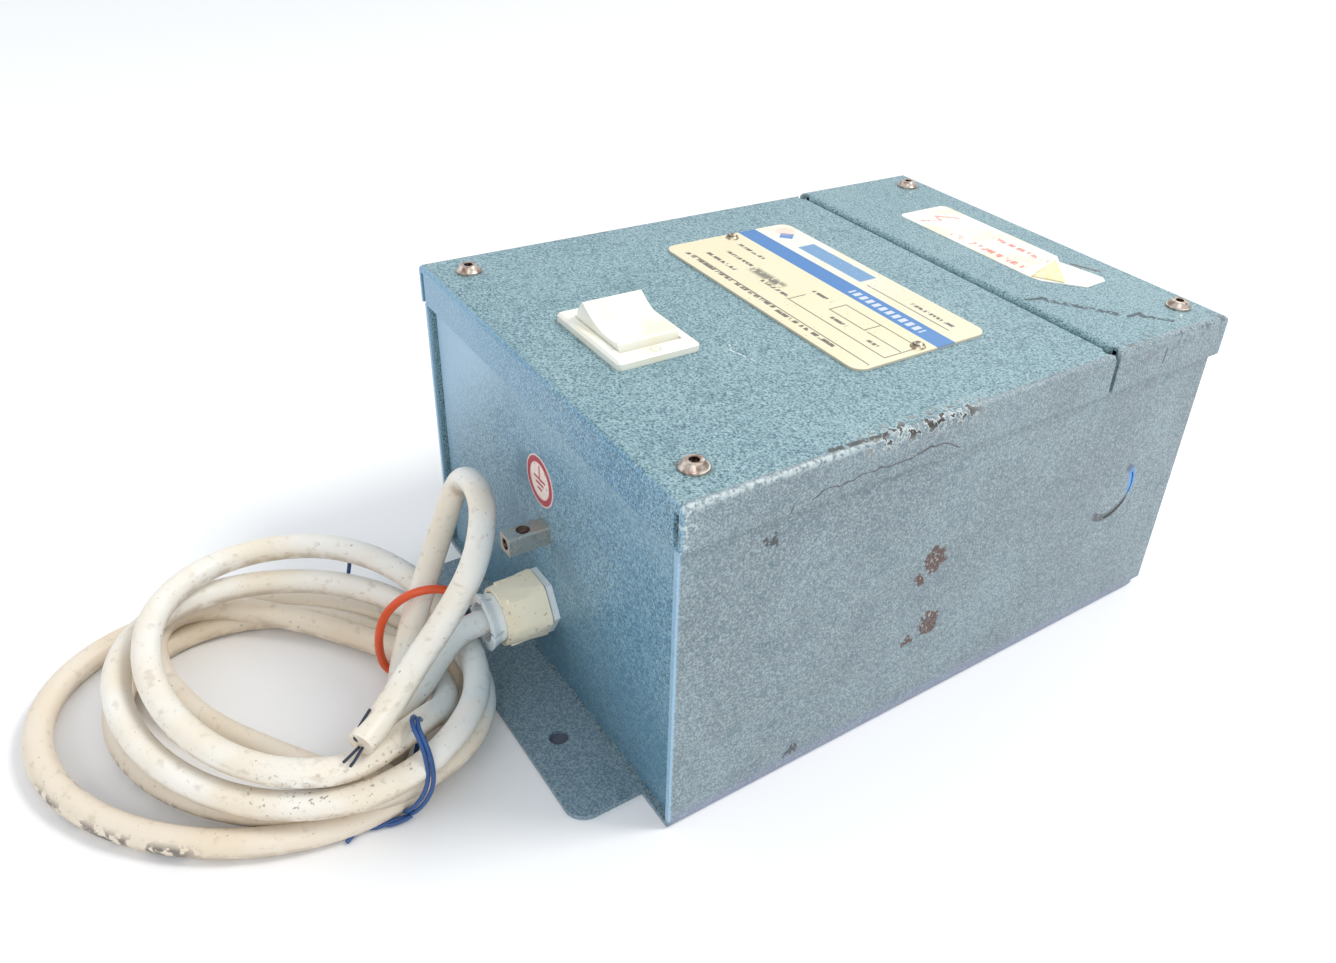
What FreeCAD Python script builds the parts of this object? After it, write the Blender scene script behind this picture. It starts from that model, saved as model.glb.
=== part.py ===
import FreeCAD, Part
import os
from math import cos, degrees, pi, radians, sin, sqrt, tan

# Power unit of a garage door opener: a folded sheet-steel box with two lift-off covers,
# a rocker switch, a cable gland with its coiled mains lead, an earth pillar, and inside
# it a transformer, a rectifier, a smoothing capacitor, a fuse and an output terminal block.
# Millimetres, +Z up.  Origin: centre of the four mounting holes, on the base plane.
# The gland end is the front (-Y); the terminal compartment is at the rear (+Y).

V = FreeCAD.Vector
X_AXIS = V(1, 0, 0)
Y_AXIS = V(0, 1, 0)
Z_AXIS = V(0, 0, 1)

# ---- driving dimensions -------------------------------------------------------------
COVER_WIDTH = 150.0        # over the side lips of the covers
COVER_LENGTH = 201.4       # over the front and rear lips
BOX_HEIGHT = 104.8         # base plane to the top of the front cover
LIP = 12.4                 # depth of the covers' lips
COVER_SHEET = 1.2
WALL_SHEET = 1.5
BODY_GAP = 0.3             # between a cover and the wall it slides over
BEND = 2.0                 # outer bend radius of the covers
PANEL_BEND = 2.5
WALL_BEND = 1.4
SLIT_WIDTH = 2.0           # open corner slits of the folded covers
RELIEF_RADIUS = 2.2
REAR_COVER_STEP = 0.8      # the rear cover sits this much higher
FRONT_FOLD = 5.0           # the rear cover's short fold at the joint
JOINT_Y = 46.1             # rear edge of the front cover
JOINT_GAP = 1.8            # slit between the two covers

HOLE_SPACING_X = 62.0      # mounting holes
HOLE_SPACING_Y = 221.0
HOLE_RADIUS = 2.75
FLANGE_WIDTH = 120.0
FLANGE_REACH = 19.8        # flange beyond the front cover's lip
FLANGE_CORNER = 6.0

FRONT = -COVER_LENGTH / 2
REAR = COVER_LENGTH / 2
COVER_UNDERSIDE = BOX_HEIGHT - COVER_SHEET
COVER_HALF = COVER_WIDTH / 2
COVER_INSIDE = COVER_HALF - COVER_SHEET
WALL_OUT = COVER_WIDTH / 2 - COVER_SHEET - BODY_GAP
WALL_IN = WALL_OUT - WALL_SHEET
WALL_FRONT = FRONT + 0.3
WALL_REAR = REAR - COVER_SHEET - 1.0
WALL_TOP = COVER_UNDERSIDE - 0.4
PANEL_INSET = 1.9          # end panels stand this far inside the walls' edges
FRONT_PANEL_FACE = WALL_FRONT + PANEL_INSET
REAR_PANEL_FACE = WALL_REAR - PANEL_INSET
PANEL_HALF = WALL_IN - 0.05
RETURN_FLANGE = 12.0       # side returns of the end panels
BOTTOM_RETURN = 6.0        # bottom return of the end panels
TOP_FLANGE = 16.0          # top return that carries the cover screws
DIVIDER_Y = JOINT_Y - 0.3  # front face of the compartment divider

SCREW_X = 62.6             # cover screws, M4
FRONT_SCREW_Y = -89.7
REAR_SCREW_Y = 91.4
M4 = 2.0
SCREW_CLEARANCE = M4 + 0.3
NUT_RADIUS = 3.0           # rivet nuts in the end panels
NUT_BORE = M4 + 0.08
NUT_BARREL = 9.0
HEAD_BIG, HEAD_SMALL = 3.8, 2.4
HEAD_HEIGHT = 2.2
HEAD_SOCKET = 2.5          # hexagon across flats
SHANK_LENGTH = 11.0

SWITCH_X = -2.5            # rocker switch
SWITCH_Y = -69.3
BEZEL_LENGTH = 35.2
BEZEL_WIDTH = 25.6
BEZEL_HEIGHT = 2.5
SWITCH_BODY_LENGTH = 29.8
SWITCH_BODY_WIDTH = 21.8
SWITCH_BODY_DEPTH = 24.0
ROCKER_HALF = 12.0
ROCKER_WIDTH = 18.6
ROCKER_TILT = 12.0         # degrees each side of level; at rest in the off position

PLATE_X = -2.3             # nameplate
PLATE_Y = -2.3
PLATE_LENGTH = 97.6
PLATE_WIDTH = 50.0
PLATE_SHEET = 0.8
PLATE_CORNER = 4.0
PLATE_RIVET_SPACING = 91.2
PLATE_RIVET_HOLE = 1.25

TAB_X = (-9.0, 0.0)        # tab positions from the switch centre
TAB_Y = (-5.2, 5.2)
TAB_LENGTH = 9.0
TAB_HALF_WIDTH = 3.15
TAB_HALF_THICKNESS = 0.4
ROCKER_PIN_Z = BOX_HEIGHT + 0.2
ROCKER_PIN_RADIUS = 1.5
ROCKER_PIN_FIT = 0.07
ROCKER_OPENING = 12.9      # half length of the opening in the bezel
ROCKER_SIDE_GAP = 0.35

GLAND_Z = 25.0             # cable gland, on the centre line
GLAND_THREAD = 7.6         # radius of the 15.2 mm thread
GLAND_FIT = 0.2            # the body's thread is this much under the nut's
GLAND_COLLAR = 2.0         # moulded collar between panel and nut
COLLAR_FLATS = 17.6        # smaller than the nut, so the nut hides it
THREAD_REACH = 13.0        # distances forward of the panel face
NUT_START = 2.4
CLAMP_END = 20.0
NUT_LENGTH = 13.2
NUT_BIG, NUT_SMALL = 10.3, 8.9
CLAMP_RADIUS = 7.4
CLAMP_BORE = 6.0
CLAMP_LIP = 3.4
LIP_BIG, LIP_SMALL = 8.8, 7.2
LOCKNUT_FLATS = 19.0
LOCKNUT_LENGTH = 4.0

EARTH_X = 2.6              # earth pillar
EARTH_Z = 52.0
PILLAR_SIDE = 6.0
PILLAR_LENGTH = 12.5
WIRE_BORE = 1.8
PILLAR_CROSS = 5.5         # cross hole of the clamp screw, from the pillar's end
CROSS_RADIUS = 2.0
M4_NUT_FLATS = 7.0
M4_NUT_HEIGHT = 3.2
LABEL_SHEET = 0.25
LABEL_X = 0.4              # earth label
LABEL_Z = 67.8
LABEL_RADIUS = 8.0
REAR_LABEL = [(-39.2, 65.6), (-39.2, 88.3), (16.1, 88.3), (19.8, 85.0), (36.0, 87.8), (38.3, 86.0),
              (38.8, 76.4), (28.0, 66.6), (24.0, 65.6)]         # torn at its right end
LABEL_CORNER = 2.5
KNOCKOUT_Y = 65.5          # part-punched cable entry, right wall
KNOCKOUT_Z = 50.5
KNOCKOUT_RADIUS = 10.0
KNOCKOUT_SLIT = 0.7

CORE_X = 96.0              # transformer
CORE_HEIGHT = 80.0
CORE_STACK = 42.0
CORE_BASE = WALL_SHEET + 2.0
CORE_Y = -10.0             # middle of the stack
LEG = 16.0                 # outer legs and yokes; the middle leg is twice as wide
WINDOW = CORE_X / 2 - 2 * LEG
BOBBIN_WALL = 1.6
BOBBIN_GAP = 0.3
CHEEK_REACH = 13.0
WINDING_BUILD = 12.0
BRACKET_SHEET = 2.0
BRACKET_FOOT = 13.0
FOOT_X = CORE_X / 2 - LEG / 2
FOOT_HOLE = 8.0            # foot rivet, from the face of the stack
BOLT_BORE = 2.3

CAP_RADIUS = 17.5          # smoothing capacitor
CAP_LENGTH = 52.0
CAP_X = -64.0              # its left end
CAP_Y = 70.0
CAP_Z = WALL_SHEET + 1.5 + CAP_RADIUS
CAP_STUD = 6.5             # studs each side of the axis
CLIP_SHEET = 1.2
CLIP_WIDTH = 14.0
SINK_SHEET = 2.0
SINK_X0, SINK_X1 = -34.0, 24.0
SINK_BOTTOM, SINK_TOP = 50.0, 92.0
RECTIFIER_X = 0.0
RECTIFIER_BASE = 55.0
RECTIFIER_SIDE = 28.5
RECTIFIER_DEPTH = 8.0
RECTIFIER_TAB = 8.5        # tabs each side of the middle
RECTIFIER_MIDDLE = RECTIFIER_BASE + RECTIFIER_SIDE / 2 + 0.05

FUSE_X = 58.0              # 5 x 20 class cartridge in spring clips
FUSE_Y = 56.0
FUSE_Z = 16.0
FUSE_RADIUS = 3.2
CLIP_PITCH = 21.0
CLIP_LENGTH = 7.0
CHEEK_SHEET = 0.6
BLOCK_X0 = -8.0            # terminal strip
BLOCK_WAYS = 6
BLOCK_PITCH = 9.0
BLOCK_Y = 72.0
BLOCK_SCREW_Y = (2.0, 11.0)
BLOCK_BORE_Z = 8.0
GROMMET_X = 40.0
GROMMET_Z = 30.0
GROMMET_NECK = 8.0

CORE_RADIUS = 1.2          # insulated wires inside the box
TAIL_END = -86.0           # the mains sheath ends here
SOCKET_LENGTH = 17.0
SOCKET_BOTTOM = BOX_HEIGHT - SWITCH_BODY_DEPTH - SOCKET_LENGTH - 1.0
PRIMARY_Y = CORE_Y - CORE_STACK / 2 - BOBBIN_WALL - BOBBIN_GAP - WINDING_BUILD
SECONDARY_Y = CORE_Y + CORE_STACK / 2 + BOBBIN_WALL + BOBBIN_GAP + WINDING_BUILD
TAB_END_Y = DIVIDER_Y + COVER_SHEET + SINK_SHEET + RECTIFIER_DEPTH + 9.0

# The mains lead leaves the gland and dips into a loose coil on the floor in front of the
# box; its free end stands up in one loop before it lies back on the coil.
CORD_RADIUS = 3.7          # 7.4 mm round sheathed lead
EXIT = (0.0, FRONT_PANEL_FACE - CLAMP_END, GLAND_Z)
LEAD_ROUTE = [EXIT, (0.0, -125.0, 25.0), (2.6, -132.0, 22.0), (6.0, -138.5, 17.5), (9.5, -145.5, 14.5)]
LOOP_ROUTE = [(13.0, -149.5, 4.5), (2.0, -145.5, 10.5), (-5.5, -139.5, 20.5), (-11.5, -132.5, 30.0),
              (-20.5, -124.0, 37.5), (-29.0, -115.5, 44.5), (-31.5, -111.0, 52.0), (-25.5, -110.0, 58.0),
              (-14.0, -111.0, 61.0), (-1.0, -115.0, 60.5), (10.5, -123.0, 54.5), (13.5, -133.0, 43.5),
              (18.0, -145.0, 35.0), (24.5, -155.0, 29.6), (30.0, -163.5, 28.4)]
COIL_FLOOR = (-19.0, -177.3, 61.5, 48.5, 50.0)      # x, y, half length, half width, heading
COIL_TOP = (-13.8, -164.3, 56.0, 42.5, 28.0)
COIL_HOLE = (-18.5, -164.5, 34.0, 18.5, 33.0)
COIL_STEP = 8.2            # top of the lowest turns
COIL_HEIGHT = 24.4
COIL_RISE = 0.09           # the upper turns climb towards the left
COIL_BACK = -120.5         # the coil stays in front of this
LONG_TIE = ((-14.5, -133.2, 17.2), 13.0, 14.2, -40.0, 2.6, 2.6)
WIRE_TIE = ((28.5, -149.0, 13.2), 11.0, 11.4, 68.0, 1.6, 2.8)
END_CORE_RADIUS = 0.9
END_CORE_LENGTH = 8.0
END_CORE_LEANS = ((-0.55, 0.1, 0.12), (-0.2, -0.05, -0.3), (-0.5, 0.55, 0.75))


# ---- helpers --------------------------------------------------------------------------
def box(x0, x1, y0, y1, z0, z1):
    return Part.makeBox(x1 - x0, y1 - y0, z1 - z0, V(x0, y0, z0))


def rod(centre, radius, length, direction=Z_AXIS):
    return Part.makeCylinder(radius, length, V(*centre), direction)


def ring(centre, outer, inner, length, direction=Z_AXIS):
    return rod(centre, outer, length, direction).cut(rod(centre, inner, length, direction))


def prism(points, along):
    corners = [V(*point) for point in points]
    return Part.Face(Part.makePolygon(corners + corners[:1])).extrude(V(*along))


def hexagon(centre, across_flats, length, direction=Z_AXIS):
    corner = across_flats / sqrt(3)
    outline = [V(corner * cos(radians(60 * i)), corner * sin(radians(60 * i)), 0) for i in range(6)]
    solid = Part.Face(Part.makePolygon(outline + outline[:1])).extrude(V(0, 0, length))
    solid.Placement = FreeCAD.Placement(V(*centre), FreeCAD.Rotation(Z_AXIS, direction))
    return solid


def rounded_plate(cx, cy, length, width, corner, z0, thickness):
    plate = box(cx - length / 2, cx + length / 2, cy - width / 2, cy + width / 2, z0, z0 + thickness)
    return plate.makeFillet(corner, upright_edges(plate))


def upright_edges(solid):
    """Straight edges that run along Z."""
    return [edge for edge in solid.Edges if edges_along(edge, Z_AXIS)]


def edges_along(edge, axis):
    if len(edge.Vertexes) != 2:
        return False
    step = edge.Vertexes[1].Point - edge.Vertexes[0].Point
    return step.Length > 1e-6 and abs(step.dot(axis)) > 0.999 * step.Length


def pick_edges(solid, axis, test):
    """Edges along an axis whose middle point passes the test."""
    return [e for e in solid.Edges if edges_along(e, axis) and test(e.BoundBox.Center)]


def fuse(solids):
    joined = solids[0].multiFuse(solids[1:]) if len(solids) > 1 else solids[0]
    return joined.removeSplitter()


def cut(solid, tools):
    for tool in tools:
        solid = solid.cut(tool)
    return solid


def mirrored_x(solids):
    return list(solids) + [s.mirror(V(0, 0, 0), X_AXIS) for s in solids]


def export(name, solids):
    shape = solids if isinstance(solids, Part.Shape) else Part.makeCompound(solids)
    shape.exportStep("parts/" + name + ".step")


os.makedirs("parts", exist_ok=True)


# ---- sheet-steel body -----------------------------------------------------------------
def base_channel():
    bottom = box(-WALL_OUT, WALL_OUT, WALL_FRONT, WALL_REAR, 0, WALL_SHEET)
    flange_end = -FRONT + FLANGE_REACH
    flange = box(-FLANGE_WIDTH / 2, FLANGE_WIDTH / 2, -flange_end, flange_end, 0, WALL_SHEET)
    flange = flange.makeFillet(FLANGE_CORNER, upright_edges(flange))
    wall = box(WALL_IN, WALL_OUT, WALL_FRONT, WALL_REAR, 0, WALL_TOP)
    lip_bottom = BOX_HEIGHT - LIP
    lip_notch = box(WALL_IN, WALL_OUT, WALL_FRONT, FRONT + COVER_SHEET + BODY_GAP,
                    lip_bottom - 0.4, WALL_TOP)
    corner_relief = box(WALL_IN - 3, WALL_OUT, WALL_REAR - 4.5, WALL_REAR, 0, 2.4)
    body = fuse([bottom, flange] + mirrored_x([wall]))
    body = cut(body, mirrored_x([lip_notch, corner_relief]))
    bends = pick_edges(body, Y_AXIS, lambda c: c.z < 0.01 and abs(abs(c.x) - WALL_OUT) < 0.01)
    body = body.makeFillet(WALL_BEND, bends)
    holes = [rod((sx * HOLE_SPACING_X / 2, sy * HOLE_SPACING_Y / 2, -1), HOLE_RADIUS, 4)
             for sx in (-1, 1) for sy in (-1, 1)]
    body = cut(body, holes + foot_holes())
    return body.cut(knockout_slit())


def knockout_slit():
    """The 20 mm knockout is sheared round its lower rear side and still held elsewhere."""
    start = V(WALL_IN - 1, KNOCKOUT_Y, KNOCKOUT_Z)
    full = ring(tuple(start), KNOCKOUT_RADIUS + KNOCKOUT_SLIT / 2, KNOCKOUT_RADIUS - KNOCKOUT_SLIT / 2,
                4, X_AXIS)
    reach = KNOCKOUT_RADIUS + 3
    wedge = prism([(start.x, start.y, start.z),
                   (start.x, start.y - 0.1 * reach, start.z - 1.6 * reach),
                   (start.x, start.y + 1.6 * reach, start.z - 1.2 * reach),
                   (start.x, start.y + 1.6 * reach, start.z + 0.9 * reach)], (4, 0, 0))
    return full.common(wedge)


def end_panel(face_y, inward, holes):
    """An inset end panel with returns on all four sides; inward is +1 or -1 along Y."""
    def slab(x0, x1, depth0, depth1, z0, z1):
        ya, yb = sorted((face_y + inward * depth0, face_y + inward * depth1))
        return box(x0, x1, ya, yb, z0, z1)

    floor = WALL_SHEET
    outer = slab(-PANEL_HALF, PANEL_HALF, 0, TOP_FLANGE, floor, WALL_TOP)
    bends = pick_edges(outer, Z_AXIS, lambda c: abs(c.y - face_y) < 0.01)
    bends += pick_edges(outer, X_AXIS, lambda c: abs(c.y - face_y) < 0.01 and c.z > 50)
    outer = outer.makeFillet(PANEL_BEND, bends)
    hollow = slab(-PANEL_HALF + WALL_SHEET, PANEL_HALF - WALL_SHEET, WALL_SHEET, TOP_FLANGE + 1,
                  floor + WALL_SHEET, WALL_TOP - WALL_SHEET)
    trims = [slab(-PANEL_HALF - 1, PANEL_HALF + 1, RETURN_FLANGE, TOP_FLANGE + 1,
                  floor - 1, WALL_TOP - 8)]
    trims.append(slab(-PANEL_HALF + WALL_SHEET, PANEL_HALF - WALL_SHEET, BOTTOM_RETURN, TOP_FLANGE + 1,
                      floor - 1, floor + WALL_SHEET + 1))
    corner_cuts = [slab(PANEL_HALF - 6, PANEL_HALF + 1, RETURN_FLANGE - 2, TOP_FLANGE + 1,
                        WALL_TOP - 9, WALL_TOP + 1)]
    return cut(outer, [hollow] + trims + mirrored_x(corner_cuts) + holes)


def front_panel():
    start = FRONT_PANEL_FACE - 1
    holes = [rod((0, start, GLAND_Z), GLAND_THREAD + 0.1, 4, Y_AXIS),
             rod((EARTH_X, start, EARTH_Z), M4 + 0.1, 4, Y_AXIS)]
    holes += nut_holes(FRONT_SCREW_Y)
    return end_panel(FRONT_PANEL_FACE, 1, holes)


def rear_panel():
    return end_panel(REAR_PANEL_FACE, -1, nut_holes(REAR_SCREW_Y))


def nut_holes(y):
    return [rod((sx * SCREW_X, y, WALL_TOP - 3), NUT_RADIUS, 6) for sx in (-1, 1)]


def rivet_nut(x, y):
    barrel = ring((x, y, WALL_TOP - NUT_BARREL), NUT_RADIUS, NUT_BORE, NUT_BARREL)
    bulge = ring((x, y, WALL_TOP - WALL_SHEET - 2), NUT_RADIUS + 0.6, NUT_BORE, 2)
    return fuse([barrel, bulge])


def compartment_divider():
    """Full-height sheet under the joint of the covers, with a top and a bottom flange."""
    web = box(-WALL_IN + 0.1, WALL_IN - 0.1, DIVIDER_Y, DIVIDER_Y + COVER_SHEET, WALL_SHEET, WALL_TOP)
    top = box(-WALL_IN + 0.1, WALL_IN - 0.1, DIVIDER_Y - 12, DIVIDER_Y, WALL_TOP - COVER_SHEET, WALL_TOP)
    foot = box(-WALL_IN + 4, WALL_IN - 4, DIVIDER_Y - 10, DIVIDER_Y, WALL_SHEET, WALL_SHEET + COVER_SHEET)
    sheet = fuse([web, top, foot])
    return sheet.cut(rod((GROMMET_X, DIVIDER_Y - 1, GROMMET_Z), GROMMET_NECK, 4, Y_AXIS))


def grommet():
    middle = DIVIDER_Y + COVER_SHEET / 2
    body = rod((GROMMET_X, middle - 3, GROMMET_Z), GROMMET_NECK + 2.4, 6, Y_AXIS)
    groove = ring((GROMMET_X, DIVIDER_Y, GROMMET_Z), GROMMET_NECK + 4, GROMMET_NECK,
                  COVER_SHEET, Y_AXIS)
    bore = rod((GROMMET_X, middle - 4, GROMMET_Z), GROMMET_NECK - 2, 8, Y_AXIS)
    return body.makeFillet(1.2, body.Edges[:1] + body.Edges[2:3]).cut(groove).cut(bore)


# ---- covers ---------------------------------------------------------------------------
def cover_blank(y0, y1, top):
    """A cover's outer block, from the lower edge of the lips to its top face."""
    return box(-COVER_HALF, COVER_HALF, y0, y1, BOX_HEIGHT - LIP, top)


def corner_slit(y0, y1, top):
    """Open slit beside a side lip, where the sheet was notched before folding."""
    return box(COVER_INSIDE - SLIT_WIDTH, COVER_INSIDE, y0, y1, 0, top - BEND - 0.4)


def joint_relief(top):
    """Round relief where the joint between the covers meets the side bends."""
    return rod((COVER_INSIDE - RELIEF_RADIUS, JOINT_Y + JOINT_GAP / 2, COVER_UNDERSIDE - 4), RELIEF_RADIUS,
               top - COVER_UNDERSIDE + 5)


def cover_screw_holes(y, top):
    return [rod((sx * SCREW_X, y, top - 3), SCREW_CLEARANCE, 4) for sx in (-1, 1)]


def front_cover():
    outer = cover_blank(FRONT, JOINT_Y, BOX_HEIGHT)
    edges = pick_edges(outer, Y_AXIS, lambda c: c.z > BOX_HEIGHT - 0.1)
    edges += pick_edges(outer, X_AXIS, lambda c: c.z > BOX_HEIGHT - 0.1 and c.y < 0)
    outer = outer.makeFillet(BEND, edges)
    hollow = box(-COVER_INSIDE, COVER_INSIDE, FRONT + COVER_SHEET, JOINT_Y + 1, 0, COVER_UNDERSIDE)
    bends = pick_edges(hollow, Y_AXIS, lambda c: c.z > 50)
    bends += pick_edges(hollow, X_AXIS, lambda c: c.z > 50 and c.y < 0)
    hollow = hollow.makeFillet(BEND - COVER_SHEET, bends)
    slit = corner_slit(FRONT - 1, FRONT + COVER_SHEET, BOX_HEIGHT)
    switch_hole = box(SWITCH_X - SWITCH_BODY_LENGTH / 2 - 0.1, SWITCH_X + SWITCH_BODY_LENGTH / 2 + 0.1,
                      SWITCH_Y - SWITCH_BODY_WIDTH / 2 - 0.1, SWITCH_Y + SWITCH_BODY_WIDTH / 2 + 0.1,
                      COVER_UNDERSIDE - 1, BOX_HEIGHT + 1)
    rivet_holes = [rod((x, PLATE_Y, COVER_UNDERSIDE - 1), PLATE_RIVET_HOLE, 4) for x in plate_rivet_x()]
    openings = [hollow, switch_hole] + mirrored_x([slit, joint_relief(BOX_HEIGHT)])
    return cut(outer, openings + cover_screw_holes(FRONT_SCREW_Y, BOX_HEIGHT) + rivet_holes)


def rear_cover():
    start = JOINT_Y + JOINT_GAP
    top = BOX_HEIGHT + REAR_COVER_STEP
    outer = cover_blank(start, REAR, top)
    edges = pick_edges(outer, Y_AXIS, lambda c: c.z > top - 0.1)
    edges += pick_edges(outer, X_AXIS, lambda c: c.z > top - 0.1)
    outer = outer.makeFillet(BEND, edges)
    hollow = box(-COVER_INSIDE, COVER_INSIDE, start + COVER_SHEET, REAR - COVER_SHEET, 0, top - COVER_SHEET)
    fold_trim = box(-COVER_INSIDE, COVER_INSIDE, start - 1, start + COVER_SHEET, 0, top - FRONT_FOLD)
    slits = [corner_slit(REAR - COVER_SHEET, REAR + 1, top), corner_slit(start - 1, start + COVER_SHEET, top)]
    slits.append(joint_relief(top))
    return cut(outer, [hollow, fold_trim] + mirrored_x(slits) + cover_screw_holes(REAR_SCREW_Y, top))


def cover_screw(x, y, seat):
    """M4 button-head screw with a 2.5 mm hexagon socket, head underside at seat."""
    head = Part.makeCone(HEAD_BIG, HEAD_SMALL, HEAD_HEIGHT, V(x, y, seat))
    head = head.fuse(rod((x, y, seat), HEAD_BIG, 0.5))
    head = head.cut(hexagon((x, y, seat + 0.9), HEAD_SOCKET, 2))
    shank = rod((x, y, seat - SHANK_LENGTH), M4, SHANK_LENGTH)
    return fuse([head, shank])


# ---- nameplate and labels -------------------------------------------------------------
def plate_rivet_x():
    return [PLATE_X - PLATE_RIVET_SPACING / 2, PLATE_X + PLATE_RIVET_SPACING / 2]


def nameplate():
    plate = rounded_plate(PLATE_X, PLATE_Y, PLATE_LENGTH, PLATE_WIDTH, PLATE_CORNER,
                          BOX_HEIGHT, PLATE_SHEET)
    return cut(plate, [rod((x, PLATE_Y, BOX_HEIGHT - 1), PLATE_RIVET_HOLE, 3) for x in plate_rivet_x()])


def plate_rivet(x):
    seat = BOX_HEIGHT + PLATE_SHEET
    dome = Part.makeSphere(2.6, V(x, PLATE_Y, seat - 1.1)).common(
        box(x - 4, x + 4, PLATE_Y - 4, PLATE_Y + 4, seat, seat + 4))
    return fuse([dome, rod((x, PLATE_Y, seat - 4), 1.2, 4.2)])


def rear_label():
    top = BOX_HEIGHT + REAR_COVER_STEP
    sheet = prism([(x, y, top) for x, y in REAR_LABEL], (0, 0, LABEL_SHEET))
    left_corners = pick_edges(sheet, Z_AXIS, lambda c: c.x < REAR_LABEL[0][0] + 1)
    return sheet.makeFillet(LABEL_CORNER, left_corners)


def earth_label():
    return rod((LABEL_X, FRONT_PANEL_FACE - LABEL_SHEET, LABEL_Z), LABEL_RADIUS, LABEL_SHEET, Y_AXIS)


# ---- rocker switch --------------------------------------------------------------------
def switch_body():
    sx, sy = SWITCH_BODY_LENGTH / 2, SWITCH_BODY_WIDTH / 2
    bezel = rounded_plate(SWITCH_X, SWITCH_Y, BEZEL_LENGTH, BEZEL_WIDTH, 1.2, BOX_HEIGHT, BEZEL_HEIGHT)
    top_edges = [e for e in bezel.Edges if e.BoundBox.ZMin > BOX_HEIGHT + BEZEL_HEIGHT - 0.01]
    bezel = bezel.makeChamfer(0.7, top_edges)
    bottom = BOX_HEIGHT - SWITCH_BODY_DEPTH
    body = box(SWITCH_X - sx, SWITCH_X + sx, SWITCH_Y - sy, SWITCH_Y + sy, bottom, BOX_HEIGHT)
    half_width = ROCKER_WIDTH / 2 + ROCKER_SIDE_GAP
    well = box(SWITCH_X - ROCKER_OPENING, SWITCH_X + ROCKER_OPENING, SWITCH_Y - half_width,
               SWITCH_Y + half_width, BOX_HEIGHT - 13.5, BOX_HEIGHT + BEZEL_HEIGHT + 1)
    pin_holes = rod((SWITCH_X, SWITCH_Y - half_width - 1.0, ROCKER_PIN_Z),
                    ROCKER_PIN_RADIUS + ROCKER_PIN_FIT, 2 * half_width + 2, Y_AXIS)
    snap = [prism([(SWITCH_X + side * sx, SWITCH_Y - 5, COVER_UNDERSIDE - 0.3),
                   (SWITCH_X + side * (sx + 1.3), SWITCH_Y - 5, COVER_UNDERSIDE - 0.3),
                   (SWITCH_X + side * sx, SWITCH_Y - 5, COVER_UNDERSIDE - 5)], (0, 10, 0))
            for side in (-1, 1)]
    return fuse([bezel, body] + snap).cut(well).cut(pin_holes)


def switch_rocker():
    """Rocker with a hollowed top; drawn level, then tilted to the off position."""
    end, crest_x, crest_z = ROCKER_HALF, ROCKER_HALF - 2.0, 6.6
    top = Part.Arc(V(-crest_x, 0, crest_z), V(0, 0, 4.3), V(crest_x, 0, crest_z))
    sides = [V(crest_x, 0, crest_z), V(end, 0, 2.4), V(end, 0, -1.5), V(5.0, 0, -8.0),
             V(-5.0, 0, -8.0), V(-end, 0, -1.5), V(-end, 0, 2.4), V(-crest_x, 0, crest_z)]
    lines = [Part.LineSegment(a, b).toShape() for a, b in zip(sides, sides[1:])]
    profile = Part.Face(Part.Wire([top.toShape()] + lines))
    profile.translate(V(0, -ROCKER_WIDTH / 2, 0))
    rocker = profile.extrude(V(0, ROCKER_WIDTH, 0))
    crests = pick_edges(rocker, Y_AXIS, lambda c: c.z > crest_z - 0.1)
    rocker = rocker.makeFillet(0.8, crests)
    pin = rod((0, -ROCKER_WIDTH / 2 - 1.1, 0), ROCKER_PIN_RADIUS, ROCKER_WIDTH + 2.2, Y_AXIS)
    rocker = fuse([rocker, pin])
    rocker.rotate(V(0, 0, 0), Y_AXIS, ROCKER_TILT)
    rocker.translate(V(SWITCH_X, SWITCH_Y, ROCKER_PIN_Z))
    return rocker


def switch_tabs():
    bottom = BOX_HEIGHT - SWITCH_BODY_DEPTH
    return [box(SWITCH_X + dx - TAB_HALF_WIDTH, SWITCH_X + dx + TAB_HALF_WIDTH,
                SWITCH_Y + dy - TAB_HALF_THICKNESS, SWITCH_Y + dy + TAB_HALF_THICKNESS,
                bottom - TAB_LENGTH, bottom) for dx in TAB_X for dy in TAB_Y]


def tab_sockets():
    """Push-on receptacles on the wires; they stay below when the cover lifts off."""
    top = BOX_HEIGHT - SWITCH_BODY_DEPTH - 1.0
    sockets = []
    for dx in TAB_X:
        for dy in TAB_Y:
            x, y = SWITCH_X + dx, SWITCH_Y + dy
            sleeve = box(x - 3.9, x + 3.9, y - 1.6, y + 1.6, top - SOCKET_LENGTH, top)
            slot = box(x - 3.5, x + 3.5, y - 0.75, y + 0.75, top - 10, top + 1)
            sockets.append(sleeve.makeFillet(0.8, upright_edges(sleeve)).cut(slot))
    return sockets


# ---- cable gland ----------------------------------------------------------------------
def forward(distance):
    return FRONT_PANEL_FACE - distance


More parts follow.
